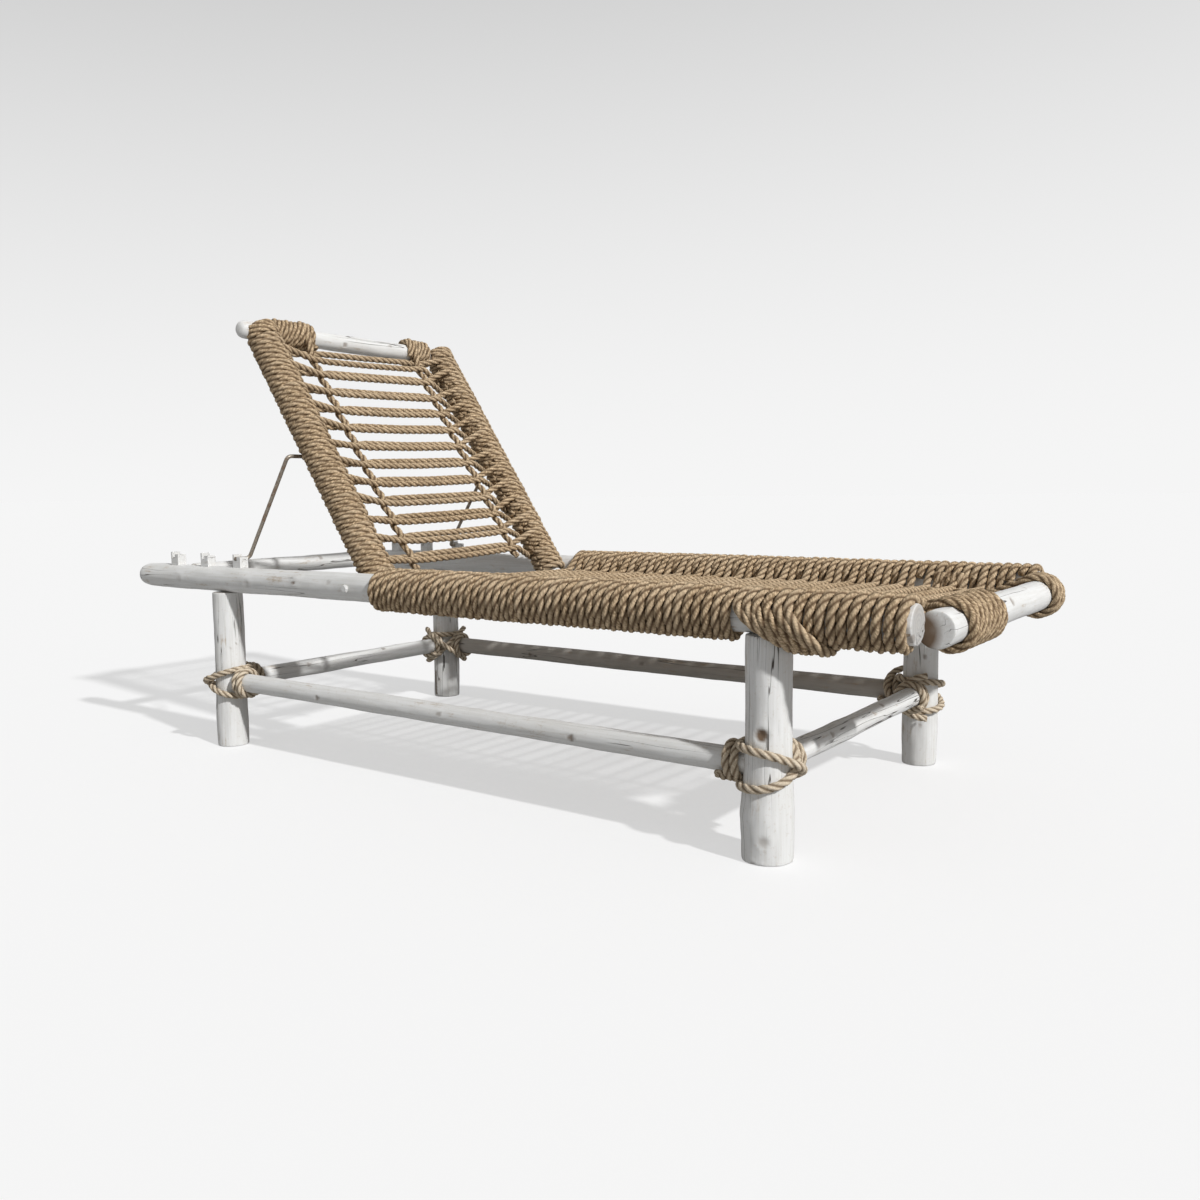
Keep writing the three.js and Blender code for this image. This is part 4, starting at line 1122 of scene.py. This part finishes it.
@dataclass
class Ropework:
    """What all the ropework shares: a finish, a slot, and a row of chance numbers."""

    finish: Material
    slot: ClassVar[Slot] = Slot.ROPE
    seed: ClassVar[int] = 0

    def __post_init__(self) -> None:
        """Starts the row of chance numbers."""
        self.chance = random.Random(self.seed)

    def stray(self, reach: float) -> float:
        """A chance number between minus and plus a reach."""
        return self.chance.uniform(-reach, reach)

    def lay_up(
        self, name: str, body: Body, lay: RopeLay, seed: int, routes: Iterable[tuple], *nodes: str
    ) -> None:
        """Lays ropes along routes and registers them as one piece.

        Args:
            name: The piece's name.
            body: The body that it rides on.
            lay: The make of the rope.
            seed: Start of the piece's own row of chance numbers.
            routes: For each rope the points of its middle, and its tone where that is set.
            *nodes: The CAD nodes that it stands for.
        """
        walk = RopeWalk(lay, seed)
        for route in routes:
            walk.add(*route)
        register(walk.build(name), name, body, self.slot, self.finish, *nodes)


@dataclass
class SeatWeave(Ropework):
    """The seat: turns on the side rails, pairs of strands, and two long cords."""

    seed: ClassVar[int] = 41
    lay: RopeLay = RopeLay(diameter=17.4)
    turn_radius: float = 38.3
    leg_zone: tuple[float, float] = (1383.0, 1474.0)
    sweep_start: float = 1467.0
    sweep_step: float = 11.5
    layer: float = 12.5
    lift: float = 7.5
    cord_dip: float = 5.5
    far_dip: float = 13.0
    cord_ring: float = 37.0
    cord_reach: float = 14.0
    tuck: float = 298.0
    turn_span: tuple[float, float] = (-72.0, 288.0)
    end_span: tuple[float, float] = (-48.0, 222.0)
    pairs: int = S.seat_turns // 3
    end_turns: tuple[int, ...] = (S.seat_turns, S.seat_turns + 1)

    def rail(self, side: Side) -> RoundCore:
        """The side rail as a core, with angles from the top outwards."""
        return RoundCore(point(0.0, side.value * S.side, S.rail_z), X_WAY, Z_WAY, side.value * Y_WAY)

    def turn_place(self, side: Side, turn: float) -> float:
        """X of the middle of a turn on a side rail."""
        return side.pick(S.seat_near, S.seat_far) + (turn + 0.5) * side.pick(S.seat_pitch, S.far_pitch)

    def strand_x(self, turn: int, y: float) -> float:
        """X of a strand where it is a distance from the middle of the lounger."""
        near_x, far_x = (self.turn_place(side, turn) for side in Side)
        return near_x + (far_x - near_x) * ((y + S.side) / S.track)

    def turn_lines(self, side: Side, turn: int) -> tuple[Line, Line]:
        """How one turn runs round its rail: X for an angle, and the radius for an angle."""
        x = self.turn_place(side, turn) + self.stray(0.9)
        pitch = side.pick(S.seat_pitch, -S.far_pitch)
        phase = self.chance.uniform(0.0, 6.28)
        wave = self.chance.uniform(0.2, 0.8)
        radius = self.turn_radius + self.chance.uniform(-0.7, 0.9)
        low, high = self.leg_zone
        swept = low < x < high
        order = (x - low) // S.seat_pitch
        target = self.sweep_start + self.sweep_step * order + self.stray(1.5)

        def along(angle: float) -> float:
            """X of the turn, which is swept aside where the leg's head is."""
            base = x - pitch * angle / 360.0 + wave * math.sin(math.radians(angle) + phase)
            return base + (target - base) * ease((angle - 58.0) / 100.0) if swept else base

        def out(angle: float) -> float:
            """Radius of the turn, which lies on other turns where it is swept aside."""
            return radius + (self.layer * ease((angle - 50.0) / 60.0) if swept else 0.0)

        return along, out

    def turn(self, side: Side, turn: int, span: tuple[float, float]) -> Array:
        """A turn that only wraps the rail, from a first angle to a last one on the inner side."""
        return self.rail(side).wrap(*span, *self.turn_lines(side, turn))

    def over_rail(self, side: Side, turn: int, outside: Array) -> Array:
        """A strand's way from the seat over the rail's top and round it, to its tucked end."""
        along, out = self.turn_lines(side, turn)
        core = self.rail(side)
        return core.wrap(core.contact(outside, out(0.0), 1), self.tuck, along, out)

    def strand(self, pair: int, which: int) -> Array:
        """The route of one strand of a pair, from its near tucked end to its far one."""
        turn = 3 * pair + which
        z = S.deck + (-self.lift if which else self.lift)
        spots = []
        for side in Side:
            y = S.cord_y(side, S.seat_cords)
            x = self.strand_x(turn, y) + self.stray(1.2)
            spots.append(point(x, y, z - side.pick(0.0, self.far_dip) + self.stray(1.0)))
        first, last = spots
        middle = (first + last) / 2 + point(self.stray(2.0), 0.0, self.chance.uniform(-2.5, 0.5))
        near = self.over_rail(Side.NEAR, turn, first)[::-1]
        far = self.over_rail(Side.FAR, turn, last)
        reach = self.cord_reach * Y_WAY
        return np.vstack([near, first - reach, first + reach, middle, last - reach, last + 10.0 * Y_WAY, far])

    def cord(self, side: Side) -> Array:
        """A long cord: over and under the strands, then round the foot rail."""
        y = S.cord_y(side, S.seat_cords)
        points = []
        for pair in range(self.pairs):
            for which, dip in enumerate((-self.cord_dip, self.cord_dip)):
                z = S.deck + dip - side.pick(0.0, self.far_dip)
                points.append(point(self.strand_x(3 * pair + which, y), y, z))
        start = points[0] + point(-22.0, 4.0, -6.0)
        leave = points[-1] + self.cord_reach * X_WAY
        foot = RoundCore(point(S.foot_x, y, S.foot_z), Y_WAY, Z_WAY, X_WAY)
        touch = foot.contact(leave, (S.foot_rail + S.rope) / 2, 1)
        hold = foot.wrap(touch, 275.0, lambda a: S.rope * (a - touch) / 360.0, lambda a: self.cord_ring)
        return np.vstack([start, points, leave, hold])

    def build(self) -> None:
        """Builds the strands, the turns on both rails and the cords."""
        for which, word, nodes in ((0, "over", ["seat_strands"]), (1, "under", [])):
            routes = ((self.strand(pair, which),) for pair in range(self.pairs))
            self.lay_up(f"seat_strands_{word}", Body.FRAME, self.lay, 50 + which, routes, *nodes)
        for side in Side:
            between = [3 * pair + 2 for pair in range(self.pairs)]
            routes = [(self.turn(side, turn, self.turn_span),) for turn in (*between, 3 * self.pairs)]
            routes += [(self.turn(side, turn, self.end_span),) for turn in self.end_turns]
            name = f"{side.word}_seat"
            self.lay_up(name + "_turns", Body.FRAME, self.lay, 60 + side.value, routes, name + "_winding")
        self.lay_up("seat_long_cords", Body.FRAME, self.lay, 70, ((self.cord(side), 0.2) for side in Side))


@dataclass
class FootWraps(Ropework):
    """Turns of rope round the foot rail and round the top rail."""

    lay: RopeLay = RopeLay()
    first_angle: float = -60.0
    short_by: float = 75.0
    unevenness: float = 1.1
    swell: float = 0.6

    def helix(self, core: RoundCore, start: float, turns: int, radius: float, seed: int) -> Array:
        """An even winding with small unevenness.

        Args:
            core: The pole that it goes round.
            start: Where the first turn begins, along the axis.
            turns: Number of turns.
            radius: Radius of the rope's middle.
            seed: Start of its row of chance numbers.

        Returns:
            The points of the route.
        """
        chance = random.Random(seed)
        lean = [chance.uniform(-self.unevenness, self.unevenness) for _ in range(turns + 2)]

        def along(angle: float) -> float:
            """Place along the axis at an angle."""
            turn = (angle - self.first_angle) / 360.0
            whole = min(max(int(turn), 0), turns)
            return start + S.rope * turn + lean[whole] * math.sin(math.pi * (turn - whole))

        last = 360.0 * turns - self.short_by
        return core.wrap(self.first_angle, last, along, lambda a: radius + self.swell * math.sin(a / 97.0))

    def build(self) -> None:
        """Builds the four windings."""
        foot = RoundCore(point(S.foot_x, -S.side, S.foot_z), Y_WAY, Z_WAY, X_WAY)
        top = RoundCore(back_point(S.top_along, -S.side, -S.top_setback), Y_WAY, BACK_FACE, BACK_WAY)
        for name, body, core, size, seed, start, turns in (
            ("near_foot", Body.FRAME, foot, S.foot_rail, 7, 92.0, 11),
            ("far_foot", Body.FRAME, foot, S.foot_rail, 7, S.track - 106.0, 4),
            ("near_top", Body.BACKREST, top, S.top_rail, 17, 116.0, 7),
            ("far_top", Body.BACKREST, top, S.top_rail, 17, S.track - 196.0, 5),
        ):
            route = self.helix(core, start, turns, (size + S.rope) / 2, seed + turns)
            self.lay_up(name + "_turns", body, self.lay, seed + 73 + turns, [(route,)], name + "_winding")


@dataclass
class BackWeave(Ropework):
    """The backrest's rope: turns on the poles, forked pairs of strands, and two long cords."""

    seed: ClassVar[int] = 23
    lay: RopeLay = RopeLay()
    turn_lay: RopeLay = RopeLay(diameter=17.0)
    turn_radius: float = 32.0
    rise: float = 8.0
    flat: float = 3.0
    cord_dip: float = 6.0
    cord_ring: float = 32.0
    end_laps: tuple[float, ...] = (685.0, 694.0)
    under_radius: float = 27.0
    top_spread: float = 27.0
    closing: float = 0.55
    turn_slope: float = -14.0
    strand_slope: float = -10.0
    lower_turns: tuple[float, float] = (-7.0, -12.0)
    upper_turns: tuple[float, float] = (18.0, 19.0)
    cord_reach: tuple[float, float, float] = (9.0, 7.0, 34.0)
    turn_span: tuple[float, float] = (-85.0, 275.0)
    lap_span: tuple[float, float] = (-80.0, 108.0)
    tuck: float = 285.0
    back_sweep: float = 250.0
    turns: int = int((S.pole_length - S.pole_bare - 8.0) // S.pole_pitch)

    def __post_init__(self) -> None:
        """Starts the row of chance numbers, with all the turns on both poles free."""
        super().__post_init__()
        self.free = {side: list(range(self.turns)) for side in Side}

    def core(self, side: Side) -> RoundCore:
        """A backrest pole as a core, with angles from up the pole over the sitter's side."""
        return RoundCore(back_point(0.0, side.value * S.pole_side), BACK_WAY, BACK_FACE, side.value * Y_WAY)

    def pair_place(self, side: Side, pair: int) -> float:
        """Height of a pair at one pole's side, up the backrest."""
        low, high = side.pick(S.pair_near, S.pair_far)
        return low + (high - low) * pair / (S.pairs - 1)

    @staticmethod
    def turn_place(turn: float) -> float:
        """Height of the middle of a turn on a pole."""
        return S.pole_bare + (turn + 0.5) * S.pole_pitch

    def take_turn(self, side: Side, along: float) -> float:
        """Takes the free turn on a pole nearest to a height, and gives its height."""
        best = min(self.free[side], key=lambda turn: abs(self.turn_place(turn) - along))
        self.free[side].remove(best)
        return self.turn_place(best)

    def lines(self, along: float, slope: float) -> tuple[Line, Line]:
        """Height and radius of a turn, for an angle."""
        place = along + self.stray(0.9)
        radius = self.turn_radius + self.chance.uniform(-0.5, 0.7)
        return (lambda a: place + slope * (a - 90.0) / 360.0), (lambda a: radius)

    def round_pole(self, side: Side, along: float, outside: Array, front: bool) -> Array:
        """A strand's way from the net round a pole, to its tucked end.

        Args:
            side: The pole's side.
            along: Height of the turn on the pole.
            outside: The strand's last point at the long cord.
            front: True where it goes over the pole's front first.

        Returns:
            The points.
        """
        height, out = self.lines(along, self.strand_slope)
        core = self.core(side)
        touch = core.contact(outside, out(0.0), 1 if front else -1) + (0.0 if front else 360.0)
        return core.wrap(touch, self.tuck if front else touch - self.back_sweep, height, out)

    def strand(self, pair: int, front: bool) -> Array:
        """The route of one strand: the lower one lies before the cords, the upper one behind them."""
        spread = self.top_spread if pair == S.pairs - 1 else S.pair_gap - self.closing * pair
        sign = 1 if front else -1
        level = sign * self.rise
        alongs = [self.pair_place(side, pair) - sign * spread / 2 + self.stray(1.2) for side in Side]
        ys = (S.cord_y(side, S.back_cords) for side in Side)
        first, last = (back_point(along, y, level) for along, y in zip(alongs, ys))
        shifts = self.lower_turns if front else self.upper_turns
        turns = [self.take_turn(*row) for row in zip(Side, np.add(alongs, shifts))]
        near = self.round_pole(Side.NEAR, turns[0], first, front)[::-1]
        far = self.round_pole(Side.FAR, turns[1], last, not front)
        way = unit(last - first)
        inward = BACK_FACE * (sign * self.flat - level)
        sag = (first + last) / 2 + inward - BACK_WAY * self.chance.uniform(0.0, 3.0)
        outer, inner, level_off = (way * reach for reach in self.cord_reach)
        start = [first - outer, first + inner, first + level_off + inward]
        end = [last - level_off + inward, last - inner, last + outer]
        return np.vstack([near, start, sag, end, far])

    def cord(self, side: Side) -> Array:
        """A long cord behind the front strands and before the back ones, round the top rail."""
        y = S.cord_y(side, S.back_cords)
        points = [back_point(self.pair_place(side, 0) - S.pair_gap / 2 - 20.0, y + 3.0, 2.0)]
        for pair in range(S.pairs):
            for sign in (-1, 1):
                along = self.pair_place(side, pair) + sign * S.pair_gap / 2
                points.append(back_point(along, y, sign * self.cord_dip))
        core = RoundCore(back_point(S.top_along, y, -S.top_setback), Y_WAY, BACK_FACE, BACK_WAY)
        touch = core.contact(points[-1], (S.top_rail + S.rope) / 2, 1)
        hold = core.wrap(touch, 250.0, lambda a: 10.0 * (a - touch) / 360.0, lambda a: self.cord_ring)
        return np.vstack([points, hold])

    def pole_turns(self, side: Side) -> Iterator[tuple]:
        """Routes of the turns on one pole: the free ones, an under layer, and laps at the top rail."""
        core = self.core(side)
        low = S.pole_bare - S.pole_pitch / 2
        free = [self.turn_place(turn) for turn in self.free[side]]
        for along in (low - S.pole_pitch, low, *free, self.turn_place(self.turns)):
            yield (core.wrap(*self.turn_span, *self.lines(along, self.turn_slope)),)
        for turn in range(self.turns):
            height, _ = self.lines(S.pole_bare + turn * S.pole_pitch, self.turn_slope)
            yield core.wrap(*self.turn_span, height, lambda a: self.under_radius), 0.0
        for along in self.end_laps:
            yield (core.wrap(*self.lap_span, *self.lines(along, self.turn_slope)),)

    def build(self) -> None:
        """Builds the net, the cords and the turns on both poles."""
        routes = ((self.strand(pair, front),) for pair in range(S.pairs) for front in (True, False))
        self.lay_up("backrest_strands", Body.BACKREST, self.lay, 100, routes, "backrest_net")
        cords = ((self.cord(side), 0.25) for side in Side)
        self.lay_up("backrest_cords", Body.BACKREST, self.lay, 101, cords)
        for side in Side:
            name = f"{side.word}_backrest"
            seed = 103 + side.value
            self.lay_up(
                name + "_turns", Body.BACKREST, self.turn_lay, seed, self.pole_turns(side), name + "_winding"
            )


@dataclass
class LegLashings(Ropework):
    """The paler ropes that tie the stretchers to the legs."""

    slot: ClassVar[Slot] = Slot.PALE
    lay: RopeLay = RopeLay(diameter=15.0, pitch=52.0)
    start: float = 42.0
    squash: float = 0.72
    cross_span: float = 78.0
    cross_slack: float = 7.0
    cross_bulge: float = 5.0
    coil_turns: int = 2
    coil_start: float = -150.0
    coil_gap: float = 0.4
    coil_nest: float = 1.5
    crossings: ClassVar[dict[str, float]] = {"near_front": 2.0, "far_front": 0.55}

    @staticmethod
    def beside(x: float, side: Side, angle: float, radius: float, rise: float) -> Array:
        """A point round a leg, above or below the stretchers' axes."""
        a = math.radians(angle)
        y = side.value * S.side + radius * math.sin(a)
        return point(x + radius * math.cos(a), y, S.stretcher_height + rise)

    def leg_rope(self, x: float, side: Side, inward: int, late: float) -> Array:
        """Two turns of one rope round a leg, crossing on its outer side.

        Args:
            x: Place of the leg along the lounger.
            side: The leg's side.
            inward: 1 where the long stretcher leaves the leg towards the foot end, -1 otherwise.
            late: How late the turns cross: 1 for the middle of the outer side, more for past it.

        Returns:
            The points of the rope's middle.
        """
        thick = self.lay.diameter
        ring = S.leg / 2 + thick / 2 + 0.2
        lift = S.long_stretcher / 2 + thick * 0.75
        inner = math.degrees(math.atan2(-side.value, inward))
        points = []
        for turned in np.arange(self.start, 720.0 - self.start + 0.1, 6.0):
            second = turned >= 360.0
            around = turned % 360.0
            share = min(max((around - self.start) / (360.0 - 2 * self.start), 0.0), 1.0)
            climb = ease(share**late)
            level = 1.0 - 2.0 * climb if second else 2.0 * climb - 1.0
            over = 1.0 - ease((abs(climb - 0.5) - 0.12) / 0.2) if second else 0.0
            angle = inner + side.value * inward * around
            points.append(self.beside(x, side, angle, ring + over * thick * self.squash, level * lift))
        return np.array(points)

    def inner_cross(self, x: float, side: Side, inward: int, slope: int, raised: float) -> Array:
        """One arm of the cross that ties both stretchers in the inner corner, with its ends standing."""
        inner = math.degrees(math.atan2(-side.value, inward))
        lift = S.long_stretcher / 2 + self.lay.diameter
        ring = S.leg / 2 + self.lay.diameter * 0.6 + self.cross_slack
        points = []
        for around in np.arange(-self.cross_span, self.cross_span + 0.1, 6.0):
            radius = ring + (raised + self.cross_bulge) * math.cos(math.radians(around)) ** 2
            rise = slope * lift * 1.25 * math.sin(math.radians(around * 1.15))
            points.append(self.beside(x, side, inner + around, radius, rise))
        return np.array(points)

    def coil(self, x: float, side: Side, way: Array, core_size: float, seed: int) -> Array:
        """A coil along a stretcher, next to its leg, with a short tail."""
        chance = random.Random(seed)
        thick = self.lay.diameter
        centre = point(x, side.value * S.side, S.stretcher_height)
        core = RoundCore(centre, way, Z_WAY, np.cross(way, Z_WAY))
        radius = core_size / 2 + thick / 2
        first = S.leg / 2 + thick / 2 - self.coil_nest
        lean = chance.uniform(-1.5, 1.5)

        def along(angle: float) -> float:
            """Distance from the leg's axis at an angle."""
            forward = (thick + self.coil_gap) * (angle - self.coil_start) / 360.0
            return first + forward + lean * math.sin(math.radians(angle))

        last = 360.0 * self.coil_turns + self.coil_start
        points = core.wrap(self.coil_start, last, along, lambda a: radius)
        tail = points[-1] + unit(points[-1] - points[-2]) * chance.uniform(14.0, 26.0)
        return np.vstack([points, tail + way * chance.uniform(-2.0, 9.0)])

    def leg_routes(self, x: float, side: Side, inward: int, late: float, seed: int) -> Iterator[tuple]:
        """Routes of all the ropes at one leg."""
        yield (self.leg_rope(x, side, inward, late),)
        if side is Side.FAR:
            yield (self.inner_cross(x, side, inward, 1, 0.0),)
            yield (self.inner_cross(x, side, inward, -1, self.lay.diameter),)
        yield (self.coil(x, side, inward * X_WAY, S.long_stretcher, seed + 1),)
        yield (self.coil(x, side, -side.value * Y_WAY, S.cross_stretcher, seed + 2),)

    def build(self) -> None:
        """Builds the lashings of the four legs."""
        seed = 200
        for side in Side:
            for word, x, inward in LEG_ROWS:
                seed += 10
                name = f"{side.word}_{word}"
                routes = self.leg_routes(x, side, inward, self.crossings.get(name, 1.0), seed)
                self.lay_up(name + "_leg_rope", Body.FRAME, self.lay, seed, routes, name + "_lashing")


@dataclass(frozen=True)
class Props:
    """The bent prop rods, from the eyes on the backrest down to the notched rests."""

    steel: Material
    play: float = 0.5
    rest_height: float = 15.0
    pin_inset: float = 8.0
    tip_beyond: float = 11.0

    def rod(self, name: str, points: Array, diameter: float) -> Piece:
        """A bent rod along points, made from a curve and turned into a mesh."""
        select_nothing()
        curve = bpy.data.curves.new(name, "CURVE")
        curve.dimensions = "3D"
        curve.bevel_depth = diameter / 2 * MM
        curve.bevel_resolution = 5
        curve.use_fill_caps = True
        line = curve.splines.new("POLY")
        line.points.add(len(points) - 1)
        for spot, place in zip(line.points, to_frame(points)):
            spot.co = (*place, 1.0)
        piece = bpy.data.objects.new(name, curve)
        bpy.context.scene.collection.objects.link(piece)
        bpy.context.view_layer.objects.active = piece
        piece.select_set(True)
        bpy.ops.object.convert(target="MESH")
        bpy.ops.object.shade_smooth_by_angle(angle=math.radians(40.0))
        return piece

    @staticmethod
    def corner(before: Array, at: Array, after: Array) -> list[Array]:
        """Points of a rounded bend."""
        a, b = (at + unit(end - at) * S.prop_bend for end in (before, after))
        return [(1 - t) ** 2 * a + 2 * t * (1 - t) * at + t * t * b for t in np.linspace(0.0, 1.0, 9)]

    def build(self) -> None:
        """Builds the rods."""
        behind = S.pole / 2 + S.rope + S.prop / 2 + 2 * self.play + S.eye_wire
        eye = back_point(S.prop_along, 0.0, -behind)
        foot = point(S.rest, 0.0, S.rail_z + S.rail / 2 + self.rest_height + self.play + S.prop / 2)
        for side, body in ((Side.NEAR, Body.NEAR_PROP), (Side.FAR, Body.FAR_PROP)):
            pin, high, low, tip = (
                base + side.value * reach * Y_WAY
                for base, reach in (
                    (eye, S.pole_side - self.pin_inset), (eye, S.side - S.prop_inset),
                    (foot, S.side - S.prop_inset), (foot, S.side + self.tip_beyond),
                )
            )
            route = np.vstack([pin, self.corner(pin, high, low), self.corner(high, low, tip), tip])
            name = f"{side.word}_prop"
            rod = self.rod(name + "_rod", route, S.prop)
            register(rod, name + "_rod", body, Slot.STEEL, self.steel, name)


@dataclass(frozen=True)
class Studio:
    """The pale floor, the backdrop, the sun and the camera."""

    camera_place: tuple[float, float, float] = (1.4718, -1.8669, 0.5915)
    yaw: float = -0.6209
    pitch: float = 0.1008
    roll: float = -0.0081
    lens: float = 31.37
    floor_size: float = 400.0
    floor_colour: Colour = (0.46, 0.46, 0.46)
    floor_seen: Colour = (0.42, 0.42, 0.42)
    floor_glow: Colour = (0.547, 0.547, 0.547)
    sun_energy: float = 3.0
    sun_angle: float = 2.5
    sun_way: tuple[float, float, float] = (-1.0, 0.2, -0.77)
    sky: float = 0.31
    horizon: float = 0.915
    zenith: float = 0.55
    fade: tuple[float, float] = (0.16, 1.15)
    lean_way: tuple[float, float] = (0.81, 0.58)
    lean: float = 0.23

    def build(self) -> None:
        """Sets up the whole studio."""
        self.floor()
        self.sun()
        self.backdrop()
        self.camera()
        bpy.context.scene.view_settings.view_transform = "Standard"

    def floor_inputs(self, n: Nodes) -> dict[str, object]:
        """Shader inputs of the floor, which the camera sees paler than it lights the object."""
        seen = n.add("LightPath").outputs["Is Camera Ray"]
        return {
            "Base_Color": n.coat(self.floor_colour, seen, self.floor_seen),
            "Emission_Color": n.coat((0.0, 0.0, 0.0), seen, self.floor_glow),
            "Emission_Strength": 1.0,
            "Roughness": 0.95,
            "Specular_IOR_Level": 0.0,
        }

    def floor(self) -> None:
        """A wide pale floor."""
        select_nothing()
        bpy.ops.mesh.primitive_plane_add(size=self.floor_size, location=(0.0, 0.0, 0.0))
        floor = bpy.context.active_object
        floor.name = "pale_floor"
        floor.data.materials.append(surface("pale_floor", self.floor_inputs))

    def sun(self) -> None:
        """One sun from the foot end, high on the right."""
        sun = bpy.data.lights.new("key_sun", "SUN")
        sun.energy = self.sun_energy
        sun.angle = math.radians(self.sun_angle)
        key = bpy.data.objects.new("key_sun", sun)
        key.rotation_euler = Vector(self.sun_way).normalized().to_track_quat("-Z", "Y").to_euler()
        bpy.context.scene.collection.objects.link(key)

    def backdrop(self) -> None:
        """An even sky, which the camera and reflections see as a pale backdrop, darker upwards."""
        world = bpy.data.worlds.new("even_sky")
        bpy.context.scene.world = world
        world.use_nodes = True
        n = Nodes(world.node_tree)
        way = n.add("SeparateXYZ", n.add("TexCoord").outputs["Generated"]).outputs
        height = n.math("MAXIMUM", way[2], 0.0)
        fall = n.plus(n.times(height, self.fade[0]), n.times(n.times(height, height), self.fade[1]))
        across = n.plus(n.times(way[0], self.lean_way[0]), n.times(way[1], self.lean_way[1]))
        lean = n.times(n.times(across, height), self.lean)
        shown = n.math("MAXIMUM", n.minus(n.plus(self.horizon, lean), fall), self.zenith)
        path = n.add("LightPath").outputs
        seen = n.math("MAXIMUM", path["Is Camera Ray"], path["Is Glossy Ray"])
        strength = n.add("Mix", seen, None, self.sky, shown, data_type="FLOAT").outputs[0]
        back = world.node_tree.nodes["Background"]
        n.plug(back.inputs["Color"], (1.0, 1.0, 1.0))
        n.plug(back.inputs["Strength"], strength)

    def camera(self) -> None:
        """The camera at the photograph's place."""
        data = bpy.data.cameras.new("camera")
        data.lens = self.lens
        data.sensor_width = 36.0
        camera = bpy.data.objects.new("camera", data)
        level = Vector((math.sin(self.yaw), math.cos(self.yaw), 0.0)) * math.cos(self.pitch)
        way = level - Vector((0.0, 0.0, math.sin(self.pitch)))
        right = Vector((math.cos(self.yaw), -math.sin(self.yaw), 0.0))
        up = right.cross(way)
        c, s = math.cos(self.roll), math.sin(self.roll)
        turn = Matrix((right * c + up * s, up * c - right * s, -way)).transposed().to_4x4()
        camera.matrix_world = Matrix.Translation(self.camera_place) @ turn
        bpy.context.scene.collection.objects.link(camera)
        bpy.context.scene.camera = camera


def main() -> None:
    """Builds the lounger's looks in order."""
    logging.basicConfig(level=logging.INFO, format="%(name)s: %(message)s")
    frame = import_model()
    finishes = Finishes()
    for name, node in frame["nodes"].items():
        steel = any(word in name for word in ("screw", "spacer", "eye"))
        node.data.materials.clear()
        node.data.materials.append(finishes.steel if steel else finishes.turned)
    carver = PoleCarver(finishes.whitewash, finishes.aged_and_shaded)
    for spec in (*PoleFrame().poles(), *BackPoles().poles()):
        carver.carve(spec)
    for weave in (SeatWeave, FootWraps, BackWeave):
        weave(finishes.tan_rope).build()
    LegLashings(finishes.pale_rope).build()
    Props(finishes.steel).build()
    Studio().build()


if __name__ == "__main__":
    main()
